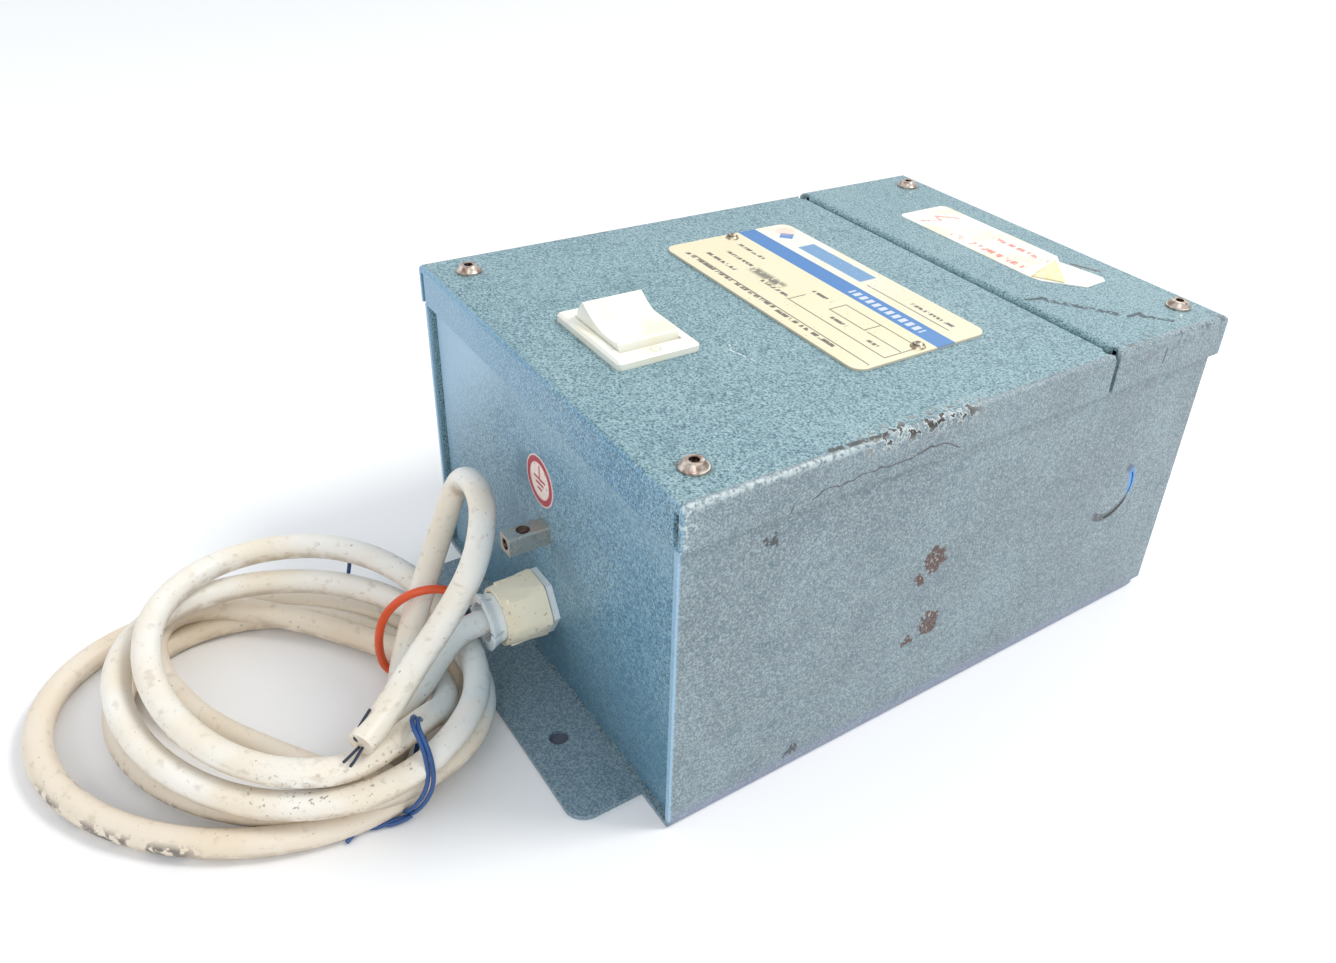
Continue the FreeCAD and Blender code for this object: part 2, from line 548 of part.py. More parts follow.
def gland_body():
    face = FRONT_PANEL_FACE
    thread = rod((0, forward(THREAD_REACH), GLAND_Z), GLAND_THREAD - GLAND_FIT, THREAD_REACH + WALL_SHEET + 8,
                 Y_AXIS)
    collar = hexagon((0, forward(GLAND_COLLAR), GLAND_Z), COLLAR_FLATS, GLAND_COLLAR, Y_AXIS)
    clamp = rod((0, forward(CLAMP_END), GLAND_Z), CLAMP_RADIUS, CLAMP_END - THREAD_REACH, Y_AXIS)
    lip = Part.makeCone(LIP_BIG, LIP_SMALL, CLAMP_LIP, V(0, forward(CLAMP_END), GLAND_Z), Y_AXIS)
    bore = rod((0, forward(CLAMP_END) - 1, GLAND_Z), CLAMP_BORE, CLAMP_END + 14, Y_AXIS)
    upright = box(-0.6, 0.6, forward(CLAMP_END) - 1, forward(CLAMP_END - CLAMP_LIP),
                  GLAND_Z - 10, GLAND_Z + 10)
    level = upright.copy()
    level.rotate(V(0, face, GLAND_Z), Y_AXIS, 90)
    return cut(fuse([thread, collar, clamp, lip]), [bore, upright, level])


def gland_nut():
    """Domed clamping nut with grip ribs; it turns on the gland's thread."""
    end = forward(NUT_START + NUT_LENGTH)
    cone = Part.makeCone(NUT_SMALL, NUT_BIG, NUT_LENGTH, V(0, end, GLAND_Z), Y_AXIS)
    flats = hexagon((0, end, GLAND_Z), 2 * NUT_BIG - 1.6, NUT_LENGTH, Y_AXIS)
    ribs = []
    for i in range(6):
        rib = box(-0.7, 0.7, end + 2, end + NUT_LENGTH - 2.5,
                  GLAND_Z + NUT_BIG - 1.8, GLAND_Z + NUT_BIG - 0.5)
        rib.rotate(V(0, 0, GLAND_Z), Y_AXIS, 60 * i + 30)
        ribs.append(rib)
    body = fuse([cone.common(flats)] + ribs)
    return body.cut(rod((0, end - 1, GLAND_Z), GLAND_THREAD + 0.1, NUT_LENGTH + 2, Y_AXIS))


def gland_seal():
    return ring((0, forward(11), GLAND_Z), CLAMP_BORE, CORD_RADIUS, 9, Y_AXIS)


def gland_locknut():
    nut = hexagon((0, FRONT_PANEL_FACE + WALL_SHEET, GLAND_Z), LOCKNUT_FLATS, LOCKNUT_LENGTH, Y_AXIS)
    return nut.cut(rod((0, FRONT_PANEL_FACE, GLAND_Z), GLAND_THREAD - GLAND_FIT, 8, Y_AXIS))


# ---- earth pillar ---------------------------------------------------------------------
def earth_pillar():
    half = PILLAR_SIDE / 2
    end = forward(PILLAR_LENGTH)
    block = box(EARTH_X - half, EARTH_X + half, end, FRONT_PANEL_FACE, EARTH_Z - half, EARTH_Z + half)
    block = block.makeChamfer(0.4, pick_edges(block, Y_AXIS, lambda c: True))
    block = block.cut(rod((EARTH_X, end - 1, EARTH_Z), WIRE_BORE, 9, Y_AXIS))
    block = block.cut(rod((EARTH_X, end + PILLAR_CROSS, EARTH_Z - 0.7), CROSS_RADIUS, 5))
    stud = rod((EARTH_X, FRONT_PANEL_FACE - 0.5, EARTH_Z), M4, 12, Y_AXIS)
    return fuse([block, stud])


def earth_clamp_screw():
    """Slotted grub screw, deep in the pillar's cross hole."""
    screw = rod((EARTH_X, forward(PILLAR_LENGTH) + PILLAR_CROSS, EARTH_Z - 0.6), CROSS_RADIUS - 0.07, 2.4)
    slot = box(EARTH_X - 0.35, EARTH_X + 0.35, forward(PILLAR_LENGTH), FRONT_PANEL_FACE,
               EARTH_Z + 1.1, EARTH_Z + 3)
    return screw.cut(slot)


def earth_nuts():
    start = FRONT_PANEL_FACE + WALL_SHEET
    washer = ring((EARTH_X, start, EARTH_Z), 4.5, M4, 0.8, Y_AXIS)
    nuts = []
    for offset in (0.8, 5.4):
        nut = hexagon((EARTH_X, start + offset, EARTH_Z), M4_NUT_FLATS, M4_NUT_HEIGHT, Y_AXIS)
        nuts.append(nut.cut(rod((EARTH_X, start, EARTH_Z), M4, 14, Y_AXIS)))
    return [washer] + nuts


def earth_tag():
    """Ring tag with the crimped end of the earth wire, between the two nuts."""
    start = FRONT_PANEL_FACE + WALL_SHEET + 4.2
    tag = ring((EARTH_X, start, EARTH_Z), 4.2, M4, 1.0, Y_AXIS)
    barrel = box(EARTH_X - 2, EARTH_X + 2, start, start + 1.0, EARTH_Z - 12, EARTH_Z - 3.9)
    return fuse([tag, barrel])


# ---- transformer ----------------------------------------------------------------------
def core_parts():
    z0 = CORE_BASE
    y0, y1 = CORE_Y - CORE_STACK / 2, CORE_Y + CORE_STACK / 2
    plate = box(-CORE_X / 2, CORE_X / 2, y0, y1, z0, z0 + CORE_HEIGHT)
    windows = mirrored_x([box(LEG, LEG + WINDOW, y0 - 1, y1 + 1, z0 + LEG, z0 + CORE_HEIGHT - LEG)])
    bolts = [rod((sx * FOOT_X, y0 - 1, z0 + dz), BOLT_BORE, CORE_STACK + 2, Y_AXIS)
             for sx in (-1, 1) for dz in (LEG / 2, CORE_HEIGHT - LEG / 2)]
    return cut(plate, windows + bolts)


def bobbin():
    z0, z1 = CORE_BASE + LEG + BOBBIN_GAP, CORE_BASE + CORE_HEIGHT - LEG - BOBBIN_GAP
    y_half = CORE_STACK / 2 + BOBBIN_WALL + BOBBIN_GAP
    tube = box(-LEG - BOBBIN_WALL, LEG + BOBBIN_WALL, CORE_Y - y_half, CORE_Y + y_half, z0, z1)
    reach_x, reach_y = LEG + WINDOW - 0.4, y_half + CHEEK_REACH
    cheeks = [box(-reach_x, reach_x, CORE_Y - reach_y, CORE_Y + reach_y, z, z + BOBBIN_WALL)
              for z in (z0, z1 - BOBBIN_WALL)]
    bore = box(-LEG, LEG, CORE_Y - CORE_STACK / 2 - 0.2, CORE_Y + CORE_STACK / 2 + 0.2, z0 - 1, z1 + 1)
    return fuse([tube] + cheeks).cut(bore)


def winding(z0, z1, build):
    """Rounded rectangular winding between two heights, wound to a given build."""
    inner_x, inner_y = LEG + BOBBIN_WALL, CORE_STACK / 2 + BOBBIN_WALL + BOBBIN_GAP
    outer = box(-inner_x - build, inner_x + build, CORE_Y - inner_y - build, CORE_Y + inner_y + build, z0, z1)
    outer = outer.makeFillet(6, upright_edges(outer))
    return outer.cut(box(-inner_x, inner_x, CORE_Y - inner_y, CORE_Y + inner_y, z0 - 1, z1 + 1))


def windings():
    z0 = CORE_BASE + LEG + BOBBIN_GAP + BOBBIN_WALL
    z1 = CORE_BASE + CORE_HEIGHT - LEG - BOBBIN_GAP - BOBBIN_WALL
    middle = z0 + 0.55 * (z1 - z0)
    primary = winding(z0, middle - 0.5, WINDING_BUILD)
    insulation = winding(middle - 0.5, middle + 0.5, WINDING_BUILD + 1)
    secondary = winding(middle + 0.5, z1, WINDING_BUILD)
    return primary, insulation, secondary


def transformer_brackets():
    """Two foot angles under the core's lower bolts, one each side of the stack."""
    brackets = []
    for side in (-1, 1):
        face = CORE_Y + side * CORE_STACK / 2
        for sx in (-1, 1):
            x0, x1 = sorted((sx * CORE_X / 2, sx * (CORE_X / 2 - LEG)))
            ya, yb = sorted((face, face + side * BRACKET_SHEET))
            yc, yd = sorted((face, face + side * BRACKET_FOOT))
            upright = box(x0, x1, ya, yb, WALL_SHEET, CORE_BASE + 15)
            foot = box(x0, x1, yc, yd, WALL_SHEET, WALL_SHEET + BRACKET_SHEET)
            angle = fuse([upright, foot])
            angle = angle.cut(rod((sx * FOOT_X, face - 5, CORE_BASE + LEG / 2), BOLT_BORE, 10, Y_AXIS))
            angle = angle.cut(rod((sx * FOOT_X, face + side * FOOT_HOLE, 0), BOLT_BORE, 6))
            brackets.append(angle)
    return brackets


def foot_holes():
    return [rod((sx * FOOT_X, CORE_Y + side * (CORE_STACK / 2 + FOOT_HOLE), -1), 2.2, 4)
            for sx in (-1, 1) for side in (-1, 1)]


def core_bolts():
    """Long bolts through the core with a nut each; the lower pair also holds the feet."""
    bolts = []
    for sx in (-1, 1):
        for dz, pad in ((LEG / 2, BRACKET_SHEET), (CORE_HEIGHT - LEG / 2, 0)):
            x, z = sx * FOOT_X, CORE_BASE + dz
            start = CORE_Y - CORE_STACK / 2 - pad
            grip = CORE_STACK + 2 * pad
            head = hexagon((x, start - 2.8, z), M4_NUT_FLATS, 2.8, Y_AXIS)
            shank = rod((x, start, z), M4, grip + M4_NUT_HEIGHT, Y_AXIS)
            nut = hexagon((x, start + grip, z), M4_NUT_FLATS, M4_NUT_HEIGHT, Y_AXIS)
            bolts.append(fuse([head, shank, nut]))
    return bolts


def foot_rivets():
    """Pop rivets that hold the foot angles to the base; flush below."""
    rivets = []
    for sx in (-1, 1):
        for side in (-1, 1):
            y = CORE_Y + side * (CORE_STACK / 2 + FOOT_HOLE)
            seat = WALL_SHEET + BRACKET_SHEET
            shank = rod((sx * FOOT_X, y, 0.3), 2.1, seat)
            rivets.append(fuse([shank, rod((sx * FOOT_X, y, seat), 4.0, 1.2)]))
    return rivets


# ---- terminal compartment -------------------------------------------------------------
def capacitor():
    can = rod((CAP_X, CAP_Y, CAP_Z), CAP_RADIUS, CAP_LENGTH, X_AXIS)
    rims = [e for e in can.Edges if len(e.Vertexes) == 1]
    can = can.makeFillet(1.2, rims)
    groove = ring((CAP_X + CAP_LENGTH - 5, CAP_Y, CAP_Z), CAP_RADIUS + 1, CAP_RADIUS - 0.9, 2, X_AXIS)
    studs = [rod((CAP_X + CAP_LENGTH - 1, CAP_Y + dy, CAP_Z), 2.6, 6, X_AXIS) for dy in (-CAP_STUD, CAP_STUD)]
    return fuse([can.cut(groove)] + studs)


def capacitor_clip():
    """Sheet saddle round the can with a foot on the base."""
    x0 = CAP_X + (CAP_LENGTH - CLIP_WIDTH) / 2
    x1 = x0 + CLIP_WIDTH
    band = ring((x0, CAP_Y, CAP_Z), CAP_RADIUS + CLIP_SHEET, CAP_RADIUS, CLIP_WIDTH, X_AXIS)
    foot = box(x0, x1, CAP_Y + 2, CAP_Y + CAP_RADIUS + 1, WALL_SHEET, WALL_SHEET + CLIP_SHEET)
    post = box(x0, x1, CAP_Y + CAP_RADIUS - 0.2, CAP_Y + CAP_RADIUS + 1, WALL_SHEET, CAP_Z)
    band = fuse([band, foot, post])
    return band.cut(rod((x0 - 1, CAP_Y, CAP_Z), CAP_RADIUS, CLIP_WIDTH + 2, X_AXIS))


def heat_sink():
    """Aluminium angle on the divider's rear face."""
    y0 = DIVIDER_Y + COVER_SHEET
    upright = box(SINK_X0, SINK_X1, y0, y0 + SINK_SHEET, SINK_BOTTOM, SINK_TOP)
    shelf = box(SINK_X0, SINK_X1, y0, y0 + 20, SINK_TOP - SINK_SHEET, SINK_TOP)
    return fuse([upright, shelf])


def rectifier():
    y0 = DIVIDER_Y + COVER_SHEET + SINK_SHEET
    half = RECTIFIER_SIDE / 2
    x0, x1 = RECTIFIER_X - half, RECTIFIER_X + half
    z0, z1 = RECTIFIER_BASE, RECTIFIER_BASE + RECTIFIER_SIDE
    outline = [(x0, y0, z0), (x1, y0, z0), (x1, y0, z1 - 5), (x1 - 5, y0, z1), (x0, y0, z1)]
    block = prism(outline, (0, RECTIFIER_DEPTH, 0))
    tabs = [box(RECTIFIER_X + dx - 3.1, RECTIFIER_X + dx + 3.1, y0 + RECTIFIER_DEPTH, TAB_END_Y,
                69 + dz, 69.8 + dz)
            for dx in (-RECTIFIER_TAB, RECTIFIER_TAB) for dz in (-RECTIFIER_TAB, RECTIFIER_TAB)]
    bore = rod((RECTIFIER_X, y0 - 1, RECTIFIER_MIDDLE), BOLT_BORE, 12, Y_AXIS)
    return fuse([block.cut(bore)] + tabs)


def rectifier_screw():
    y0 = DIVIDER_Y + COVER_SHEET + SINK_SHEET
    shank = rod((RECTIFIER_X, y0, RECTIFIER_MIDDLE), M4, RECTIFIER_DEPTH, Y_AXIS)
    head = hexagon((RECTIFIER_X, y0 + RECTIFIER_DEPTH, RECTIFIER_MIDDLE), M4_NUT_FLATS, 2.6, Y_AXIS)
    return fuse([shank, head])


def fuse_base():
    y0, y1 = FUSE_Y, FUSE_Y + 34
    plate = box(FUSE_X - 8, FUSE_X + 8, y0 - 4, y1, WALL_SHEET, WALL_SHEET + 6)
    return plate.makeFillet(1.2, pick_edges(plate, X_AXIS, lambda c: c.z > 5))


def fuse_clips():
    """Two pairs of spring cheeks, open upwards."""
    near = FUSE_RADIUS + 0.35
    far = near + CHEEK_SHEET
    bottom = WALL_SHEET + 6
    clips = []
    for y0 in (FUSE_Y, FUSE_Y + CLIP_PITCH):
        y1 = y0 + CLIP_LENGTH
        cheeks = [box(FUSE_X + near, FUSE_X + far, y0, y1, bottom, FUSE_Z + 4),
                  box(FUSE_X - far, FUSE_X - near, y0, y1, bottom, FUSE_Z + 4)]
        web = box(FUSE_X - far, FUSE_X + far, y0, y1, bottom, bottom + 0.8)
        clips.append(fuse(cheeks + [web]))
    return clips


def fuse_glass():
    return rod((FUSE_X, FUSE_Y + 2.5, FUSE_Z), FUSE_RADIUS - 0.3, 23, Y_AXIS)


def fuse_caps():
    return [rod((FUSE_X, y, FUSE_Z), FUSE_RADIUS, 6.5, Y_AXIS) for y in (FUSE_Y - 0.2 - 4, FUSE_Y + 25.5)]


def terminal_block():
    """Six-way pillar terminal strip for the outgoing cable."""
    x1 = BLOCK_X0 + BLOCK_WAYS * BLOCK_PITCH - 1.0
    solids = [box(BLOCK_X0, x1, BLOCK_Y, BLOCK_Y + 13, WALL_SHEET, 6)]
    for i in range(BLOCK_WAYS):
        x = BLOCK_X0 + i * BLOCK_PITCH
        tower = box(x, x + BLOCK_PITCH - 1, BLOCK_Y - 2, BLOCK_Y + 15, WALL_SHEET, 13)
        collars = [rod((x + 4, BLOCK_Y + dy, 12.9), 3.2, 4) for dy in BLOCK_SCREW_Y]
        solids.append(fuse([tower] + collars))
    strip = fuse(solids)
    tools = []
    for i in range(BLOCK_WAYS):
        x = BLOCK_X0 + i * BLOCK_PITCH + 4
        tools.append(rod((x, BLOCK_Y - 3, BLOCK_BORE_Z), 2.4, 19, Y_AXIS))
        tools += [rod((x, BLOCK_Y + dy, BLOCK_BORE_Z), 2.1, 10) for dy in BLOCK_SCREW_Y]
    return cut(strip, tools)


def block_screws():
    screws = []
    for i in range(BLOCK_WAYS):
        x = BLOCK_X0 + i * BLOCK_PITCH + 4
        for dy in BLOCK_SCREW_Y:
            screw = rod((x, BLOCK_Y + dy, 10.6), 2.0, 4.4)
            slot = box(x - 3, x + 3, BLOCK_Y + dy - 0.3, BLOCK_Y + dy + 0.3, 14.2, 16)
            screws.append(screw.cut(slot))
    return screws


def block_inserts():
    inserts = []
    for i in range(BLOCK_WAYS):
        x = BLOCK_X0 + i * BLOCK_PITCH + 4
        inserts.append(ring((x, BLOCK_Y - 1, BLOCK_BORE_Z), 2.35, 1.6, 15, Y_AXIS))
    return inserts


# ---- tubes along a route --------------------------------------------------------------
def route_wire(points, report=None):
    """Straight runs joined by tangent arcs, each as large as its two runs allow."""
    knots = [V(*p) for p in points]
    edges = []
    start = knots[0]
    for before, corner, after in zip(knots, knots[1:], knots[2:]):
        into = (corner - before)
        away = (after - corner)
        short = min(into.Length, away.Length)
        into.normalize()
        away.normalize()
        half_turn = into.getAngle(away) / 2
        setback = 0.45 * short
        radius = setback / tan(half_turn)
        if report:
            print(report, "turn %5.1f  radius %6.1f" % (degrees(2 * half_turn), radius))
        first = corner - into * setback
        last = corner + away * setback
        inward = (away - into)
        inward.normalize()
        middle = corner + inward * (radius / cos(half_turn) - radius)
        edges.append(Part.LineSegment(start, first).toShape())
        edges.append(Part.Arc(first, middle, last).toShape())
        start = last
    edges.append(Part.LineSegment(start, knots[-1]).toShape())
    return Part.Wire(edges)


def tube(points, radius, report=None):
    wire = route_wire(points, report)
    heading = V(*points[1]) - V(*points[0])
    section = Part.Wire([Part.makeCircle(radius, V(*points[0]), heading)])
    solid = wire.makePipeShell([section], True, True)
    if report:
        expected = pi * radius ** 2 * wire.Length
        print(report, "length %.1f  volume/expected %.4f" % (wire.Length, solid.Volume / expected))
    return solid


# ---- wiring inside the box ------------------------------------------------------------
def lead(points):
    return tube(points, CORE_RADIUS)


def mains_tail():
    return rod((0, forward(CLAMP_END), GLAND_Z), CORD_RADIUS, TAIL_END - forward(CLAMP_END), Y_AXIS)


def tab_point(column, row):
    """Lower end of the receptacle on one switch tab."""
    return SWITCH_X + TAB_X[column], SWITCH_Y + TAB_Y[row]


def mains_cores():
    """Live and neutral up to the switch, earth up to its tag."""
    live_x, live_y = tab_point(0, 0)
    neutral_x, neutral_y = tab_point(0, 1)
    tag_y = FRONT_PANEL_FACE + WALL_SHEET + 4.7
    live = lead([(-1.9, TAIL_END, 25), (-1.9, TAIL_END + 5, 25), (-6, live_y - 1, 40),
                 (live_x, live_y, 52), (live_x, live_y, SOCKET_BOTTOM)])
    neutral = lead([(1.9, TAIL_END, 25), (1.9, TAIL_END + 5, 25), (0, neutral_y - 6, 38),
                    (neutral_x + 1, neutral_y, 50), (neutral_x, neutral_y, 56),
                    (neutral_x, neutral_y, SOCKET_BOTTOM)])
    earth = lead([(0, TAIL_END, 27.4), (0, TAIL_END + 4, 27.4), (1.6, TAIL_END + 1.5, 33.5),
                  (EARTH_X, tag_y, 36), (EARTH_X, tag_y, EARTH_Z - 12)])
    return [live, neutral, earth]


def switched_leads():
    """From the switch down to the primary winding."""
    near_x, near_y = tab_point(1, 1)
    far_x, far_y = tab_point(1, 0)
    near = lead([(near_x, near_y, SOCKET_BOTTOM), (near_x, near_y, SOCKET_BOTTOM - 8),
                 (6, near_y + 9, 42), (11, PRIMARY_Y - 4, 33), (11, PRIMARY_Y, 33)])
    far = lead([(far_x, far_y, SOCKET_BOTTOM), (far_x, far_y, SOCKET_BOTTOM - 8),
                (12, far_y + 9, 44), (21, PRIMARY_Y - 5, 33), (21, PRIMARY_Y, 33)])
    return [near, far]


def secondary_leads():
    """From the secondary through the grommet to the rectifier's two input tabs."""
    leads = []
    for side, tab_x, tab_z in ((-1, -8.5, 60.9), (1, 8.5, 60.9)):
        x = GROMMET_X + 1.8 * side
        leads.append(lead([(14 + 5 * side, SECONDARY_Y, 57), (14 + 5 * side, SECONDARY_Y + 4, 57),
                           (x - 2, DIVIDER_Y - 9, 36), (x, DIVIDER_Y - 2, GROMMET_Z),
                           (x, DIVIDER_Y + 6, GROMMET_Z), (x - 7, TAB_END_Y + 3, 40 + 2 * side),
                           (tab_x + 9, TAB_END_Y + 6, 57), (tab_x, TAB_END_Y + 5, tab_z),
                           (tab_x, TAB_END_Y, tab_z)]))
    return leads


def output_leads():
    """Rectifier to the capacitor's two studs."""
    stud_x = CAP_X + CAP_LENGTH + 5
    leads = []
    for side in (-1, 1):
        stud_y = CAP_Y - side * CAP_STUD
        leads.append(lead([(side * 8.5, TAB_END_Y, 77.9), (side * 8.5, TAB_END_Y + 8, 77.9),
                           (side * 7 + 2, CAP_Y + 13, 66), (side * 4 + 3, CAP_Y + 13, 40),
                           (stud_x + 11, stud_y, 26), (stud_x + 6, stud_y, CAP_Z),
                           (stud_x, stud_y, CAP_Z)]))
    return leads


# ---- mains lead -----------------------------------------------------------------------
def oval_prism(oval, z0, z1):
    x, y, half_length, half_width, heading = oval
    outline = Part.Wire([Part.Ellipse(V(0, 0, 0), half_length, half_width).toShape()])
    solid = Part.Face(outline).extrude(V(0, 0, z1 - z0))
    solid.Placement = FreeCAD.Placement(V(x, y, z0), FreeCAD.Rotation(Z_AXIS, heading))
    return solid


def cord_coil():
    lower = oval_prism(COIL_FLOOR, 0.05, COIL_STEP)
    upper = oval_prism(COIL_TOP, COIL_STEP - 1, 40)
    high = COIL_HEIGHT
    slope = prism([(90, -250, high - 60 * COIL_RISE), (-110, -250, high + 140 * COIL_RISE),
                   (-110, -250, 60), (90, -250, 60)], (0, 150, 0))
    coil = fuse([lower, upper.cut(slope)]).cut(oval_prism(COIL_HOLE, -1, 45))
    return coil.cut(box(-80, 60, COIL_BACK, COIL_BACK + 20, -1, 60))


def end_cores():
    """The three bare cores at the cut end."""
    end = V(*LOOP_ROUTE[-1])
    heading = end - V(*LOOP_ROUTE[-2])
    heading.normalize()
    cores = []
    for i, lean in enumerate(END_CORE_LEANS):
        angle = radians(120 * i + 20)
        start = end + V(1.6 * cos(angle), 0, 1.6 * sin(angle))
        cores.append(Part.makeCylinder(END_CORE_RADIUS, END_CORE_LENGTH, start, heading + V(*lean)))
    return cores


def tie_band(centre, half_width, half_height, heading, thick, wide):
    """Closed band round a bundle that runs along heading (degrees from +X)."""
    outer = Part.Ellipse(V(0, 0, 0), half_height + thick, half_width + thick).toShape()
    inner = Part.Ellipse(V(0, 0, 0), half_height, half_width).toShape()
    ring_face = Part.Face(Part.Wire([outer])).cut(Part.Face(Part.Wire([inner])))
    band = ring_face.extrude(V(0, 0, wide))
    band.translate(V(0, 0, -wide / 2))
    band.rotate(V(0, 0, 0), Y_AXIS, 90)
    band.rotate(V(0, 0, 0), Z_AXIS, heading)
    band.translate(V(*centre))
    return band


# ---- export ---------------------------------------------------------------------------
export("base_channel", base_channel())
export("front_panel", front_panel())
export("rear_panel", rear_panel())
export("compartment_divider", compartment_divider())
export("divider_grommet", grommet())
export("rivet_nuts", [rivet_nut(sx * SCREW_X, y) for sx in (-1, 1) for y in (FRONT_SCREW_Y, REAR_SCREW_Y)])

export("front_cover", front_cover())
export("front_cover_screws", [cover_screw(sx * SCREW_X, FRONT_SCREW_Y, BOX_HEIGHT) for sx in (-1, 1)])
export("nameplate", nameplate())
export("nameplate_rivets", [plate_rivet(x) for x in plate_rivet_x()])
export("switch_body", switch_body())
export("switch_tabs", switch_tabs())
export("switch_rocker", switch_rocker())

export("rear_cover", rear_cover())
export("rear_cover_screws", [cover_screw(sx * SCREW_X, REAR_SCREW_Y, BOX_HEIGHT + REAR_COVER_STEP)
                             for sx in (-1, 1)])
export("rear_label", rear_label())

export("gland_body", gland_body())
export("gland_nut", gland_nut())
export("gland_seal", gland_seal())
export("gland_locknut", gland_locknut())
export("earth_pillar", earth_pillar())
export("earth_clamp_screw", earth_clamp_screw())
export("earth_nuts", earth_nuts())
export("earth_tag", earth_tag())
export("earth_label", earth_label())

PRIMARY, INSULATION, SECONDARY = windings()
export("transformer_core", core_parts())
export("transformer_bobbin", bobbin())
export("primary_winding", PRIMARY)
export("winding_insulation", INSULATION)
export("secondary_winding", SECONDARY)
export("transformer_feet", transformer_brackets())
export("core_bolts", core_bolts())
export("foot_rivets", foot_rivets())

export("smoothing_capacitor", capacitor())
export("capacitor_clip", capacitor_clip())
export("heat_sink", heat_sink())
export("bridge_rectifier", rectifier())
export("rectifier_screw", rectifier_screw())
export("fuse_base", fuse_base())
export("fuse_clips", fuse_clips())
export("fuse_glass", fuse_glass())
export("fuse_caps", fuse_caps())
export("terminal_block", terminal_block())
export("terminal_inserts", block_inserts())
export("terminal_screws", block_screws())

export("mains_tail", mains_tail())
export("tab_sockets", tab_sockets())
export("mains_cores", mains_cores())
export("switched_leads", switched_leads())
export("secondary_leads", secondary_leads())
export("output_leads", output_leads())

export("cord_lead", tube(LEAD_ROUTE, CORD_RADIUS, "lead"))
export("cord_coil", cord_coil())
export("cord_loop", tube(LOOP_ROUTE, CORD_RADIUS, "loop"))
export("cord_end_cores", end_cores())
export("coil_tie", tie_band(*LONG_TIE))
export("coil_wire_tie", tie_band(*WIRE_TIE))
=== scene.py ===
from math import atan2, cos, pi, radians, sin

import bmesh
import bpy
from mathutils import Matrix, Vector


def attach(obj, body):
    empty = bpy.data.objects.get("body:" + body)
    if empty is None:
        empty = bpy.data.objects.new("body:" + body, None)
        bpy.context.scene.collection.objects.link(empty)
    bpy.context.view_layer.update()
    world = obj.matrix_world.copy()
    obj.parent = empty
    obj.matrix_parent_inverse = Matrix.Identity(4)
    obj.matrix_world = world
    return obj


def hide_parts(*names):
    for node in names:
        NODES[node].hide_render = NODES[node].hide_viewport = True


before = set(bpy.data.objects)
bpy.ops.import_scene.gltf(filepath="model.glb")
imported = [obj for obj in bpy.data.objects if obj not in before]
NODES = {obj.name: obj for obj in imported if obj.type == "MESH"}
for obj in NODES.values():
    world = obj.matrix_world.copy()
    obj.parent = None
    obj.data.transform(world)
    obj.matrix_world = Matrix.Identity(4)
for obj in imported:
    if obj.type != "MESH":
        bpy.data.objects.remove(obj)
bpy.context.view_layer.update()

MM = 0.001


def metres(points):
    """Points of the row frame in millimetres, as vectors in metres."""
    return [Vector(p) * MM for p in points]


